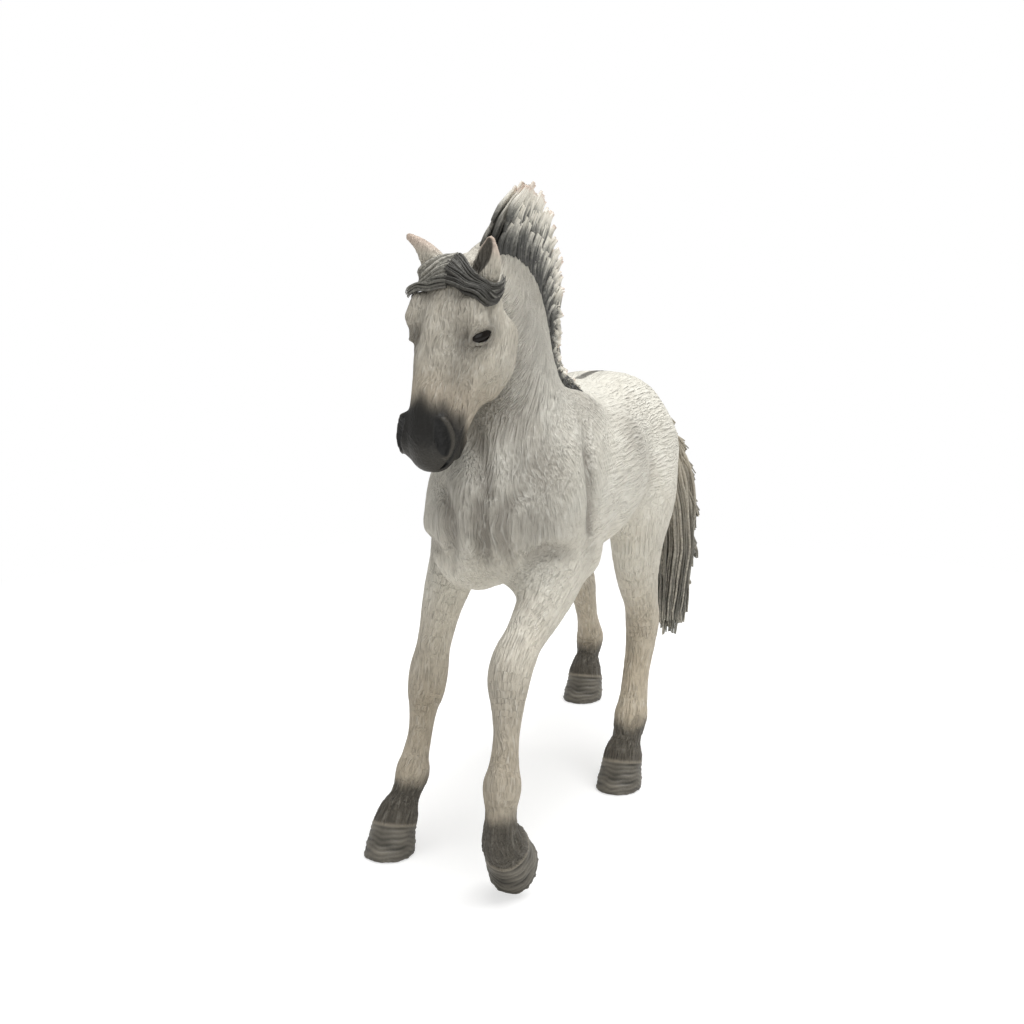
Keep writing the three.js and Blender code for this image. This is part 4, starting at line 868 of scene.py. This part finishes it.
# THE EYES
# On the real figure they are painted, dark brown and nearly black under a glossy varnish. Here each
# is a ball of its own, set into the head under the lids.
eye_gloss = Finish("eye_gloss", Roughness=0.12, Specular_IOR_Level=0.22)
eye_gloss.feed("Base Color", eye_gloss.noise(500.0).mix((0.003, 0.003, 0.003), (0.014, 0.010, 0.007)))
eye_turns, eye_rings = 32, 20
for label, side in (("left_eye", 1), ("right_eye", -1)):
    bowl = [(0.0, 0.0, 1.0)]
    for ring in range(1, eye_rings):
        rise = math.pi * ring / eye_rings
        for angle in np.linspace(0, math.tau, eye_turns, endpoint=False):
            reach = math.sin(rise)
            bowl.append((reach * math.cos(angle), reach * math.sin(angle), math.cos(rise)))
    bowl.append((0.0, 0.0, -1.0))
    faces = [(0, 1 + k, 1 + (k + 1) % eye_turns) for k in range(eye_turns)]
    for ring in range(eye_rings - 2):
        first = 1 + ring * eye_turns
        for k in range(eye_turns):
            after = (k + 1) % eye_turns
            faces.append((first + k, first + eye_turns + k, first + eye_turns + after, first + after))
    first = 1 + (eye_rings - 2) * eye_turns
    faces += [(first + (k + 1) % eye_turns, first + k, len(bowl) - 1) for k in range(eye_turns)]
    spots = ((np.array(bowl) * eye_radii) @ eye_axes + eye_place) * (1, side, 1)
    ball = bpy.data.meshes.new(label)
    ball.from_pydata(placed(spots @ turn.T + poll).tolist(), [], faces)
    middle = Vector(placed((eye_place * (1, side, 1)) @ turn.T + poll))
    if sum(face.area * (face.center - middle).dot(face.normal) for face in ball.polygons) < 0:
        ball.flip_normals()
    ball.materials.append(eye_gloss.material)
    eye = shown(label, ball)
    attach(eye, "root")

# THE LEGS
# Each leg is one moulding down to the sole, pegged under the body. The skin goes from warm white to
# brown at the fetlock and charcoal at the pastern; the hooves are grey brown with growth rings.
hoof_width, hoof_length, hoof_height = 8.6, 9.6, 6.0
coronet_share, toe_lean, heel_share = 0.84, 0.47, 0.66
toe_flex = math.radians(62)
hoof_room, below_floor = np.array((3.0, 3.0, 0.0)), -1.0
foot_top, growth_rings = 16.0, 7.5
raised_place = (50.8, 10.4, 8.4)
soles = {"right_foreleg": (41.6, -14.4), "left_hind_leg": (-2.4, 12), "right_hind_leg": (-52.5, -12.3)}
# how grey the lower leg is, and the height over the sole where the charcoal of the pastern starts
lower_grey = {"left_foreleg": 0.3, "right_foreleg": 0.08, "left_hind_leg": 0.0, "right_hind_leg": 0.08}
dark_from = {"left_foreleg": 15.0, "right_foreleg": 12.6, "left_hind_leg": 12.4, "right_hind_leg": 12.0}


def hoof_local(name, points):
    """Places in the hoof's own axes: forward, left and up from the middle of its sole, unsheared."""
    if name == "left_foreleg":
        upper = hoof_height * (1 + heel_share) / 2
        off = points - np.array(raised_place)
        x = off[:, 0] * math.cos(toe_flex) - off[:, 2] * math.sin(toe_flex)
        z = off[:, 0] * math.sin(toe_flex) + off[:, 2] * math.cos(toe_flex)
        local = np.stack((x - upper * toe_lean, off[:, 1], z + upper), 1)
    else:
        local = points - np.array((*soles[name], 0.0))
    local[:, 0] += local[:, 2] * toe_lean
    return local


def hoof_share(local):
    """Height on the wall: 0 at the sole and 1 at the coronet, which slopes down to the heel."""
    forward = np.clip(local[:, 0] / hoof_length, -0.5, 0.5)
    return local[:, 2] / (hoof_height * (heel_share + (1 - heel_share) * (forward + 0.5)))


def hoof_distance(name, points):
    local = hoof_local(name, points)
    share = hoof_share(local)
    taper = 1 + (coronet_share - 1) * np.clip(share, 0, 1)
    reach = np.hypot(local[:, 0] / hoof_length, local[:, 1] / hoof_width) * 2 / taper
    wall = (reach - 1) * hoof_width / 2 * 0.92
    return np.maximum(np.maximum(wall, -local[:, 2]), (share - 1) * hoof_height * 0.8)


for name, rows in leg_rows.items():
    leg = Limb(rows, 3.0)
    low, high = leg.low - hoof_room, leg.high + hoof_room
    low[2] = below_floor
    block = Block(low, high, LEG_PITCH)
    block.add([*trunk, *(root for other, root in leg_roots.items() if other != name), leg])
    block.values = np.maximum(block.values, block.limb_field(leg_guides[name]) - LEG_SHELL)
    points = block.points()
    foot = points[..., 2] < foot_top
    block.values[foot] = np.minimum(block.values[foot], hoof_distance(name, points[foot]))
    block.keep(leg_seams[name], -1)
    block.values = np.maximum(block.values, -points[..., 2])

    def leg_paint(spots, name=name):
        own = flow(leg_guides[name], spots, stroke=LEG_STROKE)
        local = hoof_local(name, spots)
        share = hoof_share(local)
        wall = 1 - fade(share, 0.9, 1.06)
        if name == "left_foreleg":
            wall *= np.hypot(local[:, 0] / hoof_length, local[:, 1] / hoof_width) < 0.56
        ring = 0.45 * np.sin(share * math.tau * growth_rings + 3.4 * noise(local / 2.0, 9))
        ring += 1.3 * noise(np.stack((local[:, 0] / 2.8, local[:, 1] / 2.8, share * 11), 1), 11)
        sole = fade(-share, -0.03, 0.0)
        start = dark_from[name] + 0.9 * noise(spots / 1.6, 21)
        pastern = 1 - fade(spots[:, 2], start - 2.6, start + 1.2)
        relief = noise(own, 1) * STROKE_RELIEF * (1 - wall) * (1 + 2 * pastern)
        relief += 0.13 * ring * wall * (1 - sole)
        layers = layers_of(spots, flow0=own, ring=ring, smooth=wall, hoof=wall)
        layers["dark"] = 0.93 * pastern * (1 - wall)
        layers["grey"] += lower_grey[name] * fade(-spots[:, 2], -38, -30)
        return relief, layers

    piece = moulding(name + "_skin", *block.surface(), coat_finish(name + "_coat"), leg_paint)
    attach(piece, "root")
    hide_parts(name)

# THE MANE
# A stiff brush of hair moulded in one piece and let into the crest. Leaf-like locks stand on it in
# three tiers on each side, charcoal at the root and drybrushed cream to pinkish tan edges; each lock is
# darker at its root, a painted shadow under the tier above.
crest_line = [
    (27, -1.8, 100.2), (21, -0.8, 99.2), (15.6, -0.2, 95.6), (11.8, 0.2, 90), (10, 0.4, 84),
    (8.8, 1.2, 78.6), (6.4, 3.6, 75.4),
]
mane_tips = [
    (26.5, 3, 110), (20.5, 2.4, 110.4), (13, 2.2, 107), (8.6, 2.6, 99.5), (7.8, 2.8, 90.5),
    (7.4, 2.4, 81), (3.4, 6.6, 73.2),
]


def strand_tree():
    """Flat fans of tapering strands along every guide, as a Geometry Nodes group with named inputs."""
    tree = bpy.data.node_groups.new("strands", "GeometryNodeTree")
    tree.interface.new_socket("Geometry", in_out="INPUT", socket_type="NodeSocketGeometry")
    kinds = {"Strands": "Int", "Points": "Int", "Seed": "Int", "Radius": "Float", "Blunt": "Float"}
    kinds |= {"Wave": "Float", "Wave Scale": "Float", "Stack": "Float", "Material": "Material"}
    for label, kind in kinds.items():
        tree.interface.new_socket(label, in_out="INPUT", socket_type="NodeSocket" + kind)
    tree.interface.new_socket("Geometry", in_out="OUTPUT", socket_type="NodeSocketGeometry")
    start = Socket(tree, None)
    take = {socket.name: Socket(tree, socket) for socket in tree.nodes.new("NodeGroupInput").outputs}

    def named(label, kind="FLOAT"):
        return start.node("GeometryNodeInputNamedAttribute", {"Name": label}, data_type=kind)

    curves = start.node("GeometryNodeMeshToCurve", {0: take["Geometry"]})
    curves = start.node("GeometryNodeResampleCurve", {"Curve": curves, "Count": take["Points"]})
    copies = tree.nodes.new("GeometryNodeDuplicateElements")
    copies.domain = "SPLINE"
    tree.links.new(curves.socket, copies.inputs["Geometry"])
    tree.links.new(take["Strands"].socket, copies.inputs["Amount"])
    curves, order = (Socket(tree, socket) for socket in copies.outputs[:2])
    order = order.maths("DIVIDE", order * 2.0, take["Strands"] - 1.0) - 1.0
    lot = {0: (-1, -1, -1), 1: (1, 1, 1), 8: take["Seed"]}
    lot = start.node("FunctionNodeRandomValue", lot, data_type="FLOAT_VECTOR")
    lot = start.vector("MULTIPLY", lot, (0.22, 1, 1))
    lot = start.vector("ADD", lot, start.node("ShaderNodeCombineXYZ", {0: order}))
    curves = start.node(
        "GeometryNodeStoreNamedAttribute", {"Geometry": curves, "Name": "lot", "Value": lot},
        data_type="FLOAT_VECTOR", domain="CURVE",
    )
    lot, flat = named("lot", "FLOAT_VECTOR"), named("flat", "FLOAT_VECTOR")
    size, along = named("size"), named("along")
    parts = tree.nodes.new("ShaderNodeSeparateXYZ")
    tree.links.new(lot.socket, parts.inputs[0])
    x, y, z = (Socket(tree, socket) for socket in parts.outputs)
    outward = start.vector("CROSS_PRODUCT", start.node("GeometryNodeInputTangent"), flat)
    shift = start.vector("SCALE", flat, x * size)
    shift = start.vector("ADD", shift, start.vector("SCALE", outward, y * size * take["Stack"]))
    place = start.node("GeometryNodeInputPosition")
    where = start.vector("SCALE", place, take["Wave Scale"])
    where = start.vector("ADD", where, start.vector("SCALE", lot, 0.35))
    swirl = start.node("ShaderNodeTexNoise", {"Vector": where, "Scale": 1.0, "Detail": 1.0}, output=1)
    swirl = start.vector("SUBTRACT", swirl, (0.5, 0.5, 0.5))
    swirl = start.vector("SCALE", swirl, take["Wave"] * along)
    shift = start.vector("ADD", shift, swirl)
    curves = start.node("GeometryNodeSetPosition", {"Geometry": curves, "Offset": shift})
    taper = 1.0 - (along ** 3.0) * (1.0 - take["Blunt"])
    girth = take["Radius"] * taper * (z * 0.25 + 0.9)
    ring = start.node("GeometryNodeCurvePrimitiveCircle", {"Resolution": 6, "Radius": 1.0})
    sweep = {"Curve": curves, "Profile Curve": ring, "Scale": girth, "Fill Caps": True}
    mesh = start.node("GeometryNodeCurveToMesh", sweep)
    mesh = start.node("GeometryNodeRealizeInstances", {"Geometry": mesh})
    mesh = start.node("GeometryNodeSetMaterial", {"Geometry": mesh, "Material": take["Material"]})
    tree.links.new(mesh.socket, tree.nodes.new("NodeGroupOutput").inputs[0])
    return tree


strands = strand_tree()


def hair(name, guides, material, node, slot, **inputs):
    """A piece of hair. Each guide is a line, the way its lock faces, and the fan's half-width and the
    place on the colour ramp at each point of the line."""
    points, edges, sizes, shades, along, flats = [], [], [], [], [], []
    for line, facing, size, shade in guides:
        line = np.asarray(line, float)
        first = len(points)
        points += placed(line).tolist()
        edges += [(k, k + 1) for k in range(first, len(points) - 1)]
        sizes += [value * MM for value in size]
        shades += list(shade)
        along += np.linspace(0, 1, len(line)).tolist()
        facing = unit(np.broadcast_to(facing, line.shape))
        flats += np.cross(unit(np.gradient(line, axis=0)), facing).tolist()
    mesh = bpy.data.meshes.new(name + "_guides")
    mesh.from_pydata(points, edges, [])
    for label, values in (("size", sizes), ("along", along), ("shade", shades), ("flat", flats)):
        store(mesh, label, values)
    rough = in_scene(name + "_guides", mesh)
    grow = rough.modifiers.new("strands", "NODES")
    grow.node_group = strands
    values = {label.replace("_", " "): value for label, value in inputs.items()}
    values["Material"] = material
    for socket in strands.interface.items_tree:
        if socket.in_out == "INPUT" and socket.name in values:
            grow[socket.identifier] = values[socket.name]
    piece = shown(name, settled(rough, name))
    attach(piece, "root")
    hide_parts(node)


def hair_finish(name, stops, pale, wash_colour, wash=0.8):
    """A colour ramp from root to tip, dark wash on some strands and pale drybrush on others."""
    finish = Finish(name, Roughness=0.55, Specular_IOR_Level=0.25)
    cloud = finish.noise(420.0, 2.0)
    fine = finish.noise(1900.0, 2.0, 0.6)
    spread = (finish.attribute("shade") + (cloud - 0.5) * 0.3).clamped()
    colour = finish.node("ShaderNodeValToRGB", {0: spread}, ramp=stops)
    tone = finish.node("ShaderNodeSeparateXYZ", {0: finish.attribute("lot", output=1)}, output=2)
    brushed = ((tone * 0.5 + (fine - 0.5) * 1.6 - 0.1) * (spread * 1.5 + 0.15)).clamped()
    colour = brushed.mix(colour, pale)
    washed = (((0.0 - tone) * 0.5 + (0.5 - fine) * 1.2) * wash).clamped()
    colour = washed.mix(colour, wash_colour)
    finish.feed("Base Color", colour)
    finish.bump(fine, 0.00015, 0.6)
    return finish.material


crest_steps = 400
crest_curve, tip_curve = through(crest_line, crest_steps), through(mane_tips, crest_steps)
crest_way = unit(np.gradient(crest_curve, axis=0))
draw = np.random.default_rng(7)
mane_count = 24
# each tier: where its locks start and end on the way from the crest to the tips
mane_tiers = ((0.0, 0.52), (0.24, 0.8), (0.5, 1.0))
mane_guides = []


def mane_lock(share, start, end, side, depth):
    """A lock on one side of the mane, between two heights of it."""
    place = int(np.clip(share, 0, 1) * crest_steps)
    root, tip, way = crest_curve[place] + (0, 0, -0.6), tip_curve[place], crest_way[place]
    low = fade(share, 0.5, 0.72)
    curl = draw.uniform(-0.5, 0.5) * (1 + 1.2 * low)
    darker = 0.25 + 0.5 * fade(share, 0.92, 0.98)
    line, size, shade = [], [], []
    for t in np.linspace(0, 1, 9):
        height = start + (end - start) * t
        out = side * (depth * (1.15 - 0.75 * height) + 0.35 * abs(side) * t**2 + 0.2)
        bow = 0.9 * math.sin(height * math.pi) - 0.7 * t**3 + curl * math.sin(t * 5.5) * (0.35 + low)
        line.append(root + (tip - root) * height + np.array((0, out, 0)) - way * bow)
        size.append(0.8 * (0.55 + 0.6 * math.sin(min(t * 1.25, 1) * math.pi)) * (1 - 0.3 * t) + 0.12)
        # Each lock is darker at its root as painted shadow under the tier above, over the mane's own
        # charcoal-to-cream colours.
        shade.append(height * 0.62 + 0.55 * t - 0.16 * low * (1 - t**3) - darker)
    mane_guides.append((line, (0.15, side or 1, 0), size, shade))


for k in range(mane_count + 2):
    share = (k + draw.uniform(-0.15, 0.15)) / (mane_count + 1)
    mane_lock(share, 0.15, 1.0, 0, 0.0)
    for order, (start, end) in enumerate(mane_tiers):
        for side in (-1, 1):
            offset = 0.5 * (order % 2) + draw.uniform(-0.2, 0.2)
            reach = end + 0.05 * math.sin(k * 1.9 + order) + draw.uniform(-0.05, 0.02)
            mane_lock((k + offset) / (mane_count + 1), start, reach, side, 1.45)
mane_stops = [
    (0.0, (0.06, 0.06, 0.057)), (0.18, (0.10, 0.10, 0.093)),
    (0.36, (0.25, 0.245, 0.22)), (0.58, (0.70, 0.67, 0.59)),
    (0.8, (0.84, 0.80, 0.71)), (1.0, (0.66, 0.48, 0.39)),
]
mane_hair = hair_finish("mane_hair", mane_stops, (0.86, 0.83, 0.75), (0.10, 0.098, 0.088), 0.55)
hair(
    "mane_locks", mane_guides, mane_hair, "mane", "mane_hair",
    Strands=4, Points=12, Seed=3, Radius=0.36 * MM, Blunt=0.6,
    Wave=0.9 * MM, Wave_Scale=260.0, Stack=0.2,
)

# THE FORELOCK
# Two fans of charcoal hair, parted between the ears and swept round their bases, lying close on the
# brow. One moulding, drybrushed pale on top, with painted light on its outer layer and painted shadow
# on its lower locks.
# each fan: its upper and its lower lock, in the head's own axes
right_fan = (
    [(-1.6, -0.8, -4.2), (-0.3, -3.6, -2.8), (1.3, -6, -2.6), (3.6, -6.9, -1.8), (5, -7.3, -2.2)],
    [(3.9, 0.7, -1.2), (4.2, -2, -1.3), (5, -4.9, -1.9), (5.8, -6, -2), (6.2, -6.6, -2.4)],
)
left_fan = (
    [
        (-1.5, -1, -4.4), (0.9, 2.5, -2.6), (2.4, 4.8, -3), (3, 6.6, -4.4), (1.8, 7.2, -6.2),
        (0.4, 7, -7.4),
    ],
    [
        (3.7, 0.4, -1.2), (3.9, 2.9, -1.6), (5.4, 5, -1.9), (6.2, 6.9, -2.7), (4.8, 7.4, -5.4),
        (2.4, 7.2, -7),
    ],
)
skull_limbs = [head_limb("skull"), *(head_limb("brow", side, blend=1.8) for side in (1, -1))]
skull_limbs += [head_limb("left_ear"), head_limb("right_ear")]


def skull_distance(points):
    skin = np.full(len(points), FAR)
    for limb in skull_limbs:
        skin = joined(skin, limb.distance(points)[0], limb)
    return skin


def skull_slope(points):
    """The way out of the skull at the points."""
    steps = np.eye(3) * 0.05
    rises = [skull_distance(points + step) - skull_distance(points - step) for step in steps]
    return unit(np.stack(rises, 1))


draw = np.random.default_rng(11)
forelock_guides = []
fan_count, fan_steps = 9, 14
for upper, lower, brightness in ((*right_fan, 0.4), (*left_fan, -0.45)):
    for k in range(fan_count * 2):
        share = (k % fan_count + draw.uniform(0, 0.6)) / (fan_count - 0.4)
        layer = 0.35 + 0.5 * (k // fan_count) + draw.uniform(0, 0.25)
        rows = np.array(upper) * (1 - share) + np.array(lower) * share
        line = through(rows @ turn.T + poll, fan_steps)
        for again in range(3):
            line = line - skull_slope(line) * (skull_distance(line) - layer)[:, None]
        line = line[: fan_steps + 1 - int(draw.integers(0, 3))]
        steps = np.linspace(0, 1, len(line))
        size = 0.62 * (0.7 + 0.4 * np.sin(steps * math.pi)) * (1 - 0.45 * steps**2)
        # Painted light and shadow: the outer layer is lighter, and the lower locks and those next to
        # the skull are darker. The right fan is lighter than the left throughout.
        shade = 0.6 * layer + 0.3 * steps + 0.1 - 0.6 * share + brightness
        forelock_guides.append((line, skull_slope(line), size, shade))
forelock_stops = [
    (0.0, (0.05, 0.048, 0.042)), (0.35, (0.08, 0.078, 0.07)),
    (0.7, (0.16, 0.155, 0.135)), (1.0, (0.24, 0.23, 0.2)),
]
forelock_hair = hair_finish("forelock_hair", forelock_stops, (0.58, 0.56, 0.50), (0.03, 0.029, 0.026))
hair(
    "forelock_locks", forelock_guides, forelock_hair, "forelock", "forelock_hair",
    Strands=4, Points=20, Seed=5, Radius=0.27 * MM, Blunt=0.3,
    Wave=1.3 * MM, Wave_Scale=260.0, Stack=0.35,
)

# THE TAIL
# A dock let into the croup and a bundle of wavy locks down to a rounded end, carried to the left of
# the hocks. Feathered locks sweep outward over it; beige brown above and charcoal below.
tail_line = [
    (-37.4, 0.7, 67.6), (-41.3, 3, 66.8), (-44.8, 6.6, 61), (-45.8, 9.2, 53.5), (-46, 10.6, 43),
    (-45.6, 10, 31), (-44.6, 9.6, 18.4),
]
draw = np.random.default_rng(13)
tail_steps = 60
tail_curve = through(tail_line, tail_steps)
tail_out = unit(np.array((-0.36, 0.93, 0.0)))
tail_front = unit(np.array((0.93, 0.36, 0.0)))
tail_guides = []
core_count, feather_count, tail_radius = 26, 30, 3.3


def tail_at(order):
    """A place on the tail's line, between its steps."""
    order = min(order, tail_steps - 0.001)
    low = int(order)
    return tail_curve[low] * (1 - order + low) + tail_curve[low + 1] * (order - low)


for k in range(core_count):
    angle = k * 2.4
    stand = math.sqrt((k + 0.5) / core_count)
    radial = math.cos(angle) * tail_out + math.sin(angle) * tail_front
    end = 1 - 0.06 * stand**3 - draw.uniform(0, 0.03)
    line, shade = [], []
    for t in np.linspace(0, end, 20):
        spread = 0.42 + 0.58 * math.sin(min(t * 1.5 + 0.1, 1) * math.pi * 0.5)
        spread += 0.4 * math.exp(-(((t - 0.16) / 0.1) ** 2)) - 0.15 * fade(t, 0.9, 1.02)
        wave = 0.75 * math.sin(t * 13 + k % 5) * (1 - 0.6 * t)
        line.append(tail_at(t * tail_steps) + radial * (tail_radius * stand * spread) + tail_out * wave)
        shade.append(t)
    steps = np.linspace(0, 1, len(line))
    size = (0.75 + 0.35 * np.sin(steps * 2.6)) * (1 - 0.25 * steps**3)
    tail_guides.append((line, radial, size, shade))
for k in range(feather_count):
    face = 1 if k % 2 else -1
    at = 3 + (k // 2) * 2.35 + draw.uniform(-0.5, 0.5)
    line, shade = [], []
    for t in np.linspace(0, 1, 11):
        order = min(at + t * 15, 58.0)
        below = tail_at(order)
        sway = -1.6 + 5.0 * (t**1.25) + 0.6 * math.sin(t * 8.5 + k)
        front = 2.5 * math.cos(t * 1.25) * (0.7 + 0.3 * min(order / 12, 1))
        narrow = 0.55 + 0.45 * min(order / 14, 1) - 0.1 * fade(order, 45, tail_steps)
        line.append(below + (tail_out * sway + tail_front * face * front) * narrow)
        shade.append(order / tail_steps + 0.35 * (t - 0.6) * (1 - order / 90))
    steps = np.linspace(0, 1, 11)
    swell = 0.45 + 0.65 * np.sin(np.minimum(steps * 1.15, 1) * math.pi)
    size = 1.25 * swell * (1 - 0.35 * steps) + 0.1
    tail_guides.append((line, tail_front * face, size, shade))
tail_stops = [
    (0.0, (0.40, 0.37, 0.30)), (0.45, (0.38, 0.34, 0.27)),
    (0.68, (0.24, 0.225, 0.19)), (0.85, (0.17, 0.165, 0.145)),
    (1.0, (0.27, 0.265, 0.235)),
]
tail_hair = hair_finish("tail_hair", tail_stops, (0.54, 0.5, 0.42), (0.07, 0.064, 0.05))
hair(
    "tail_locks", tail_guides, tail_hair, "tail", "tail_hair",
    Strands=6, Points=26, Seed=9, Radius=0.36 * MM, Blunt=0.4,
    Wave=1.2 * MM, Wave_Scale=190.0, Stack=0.3,
)
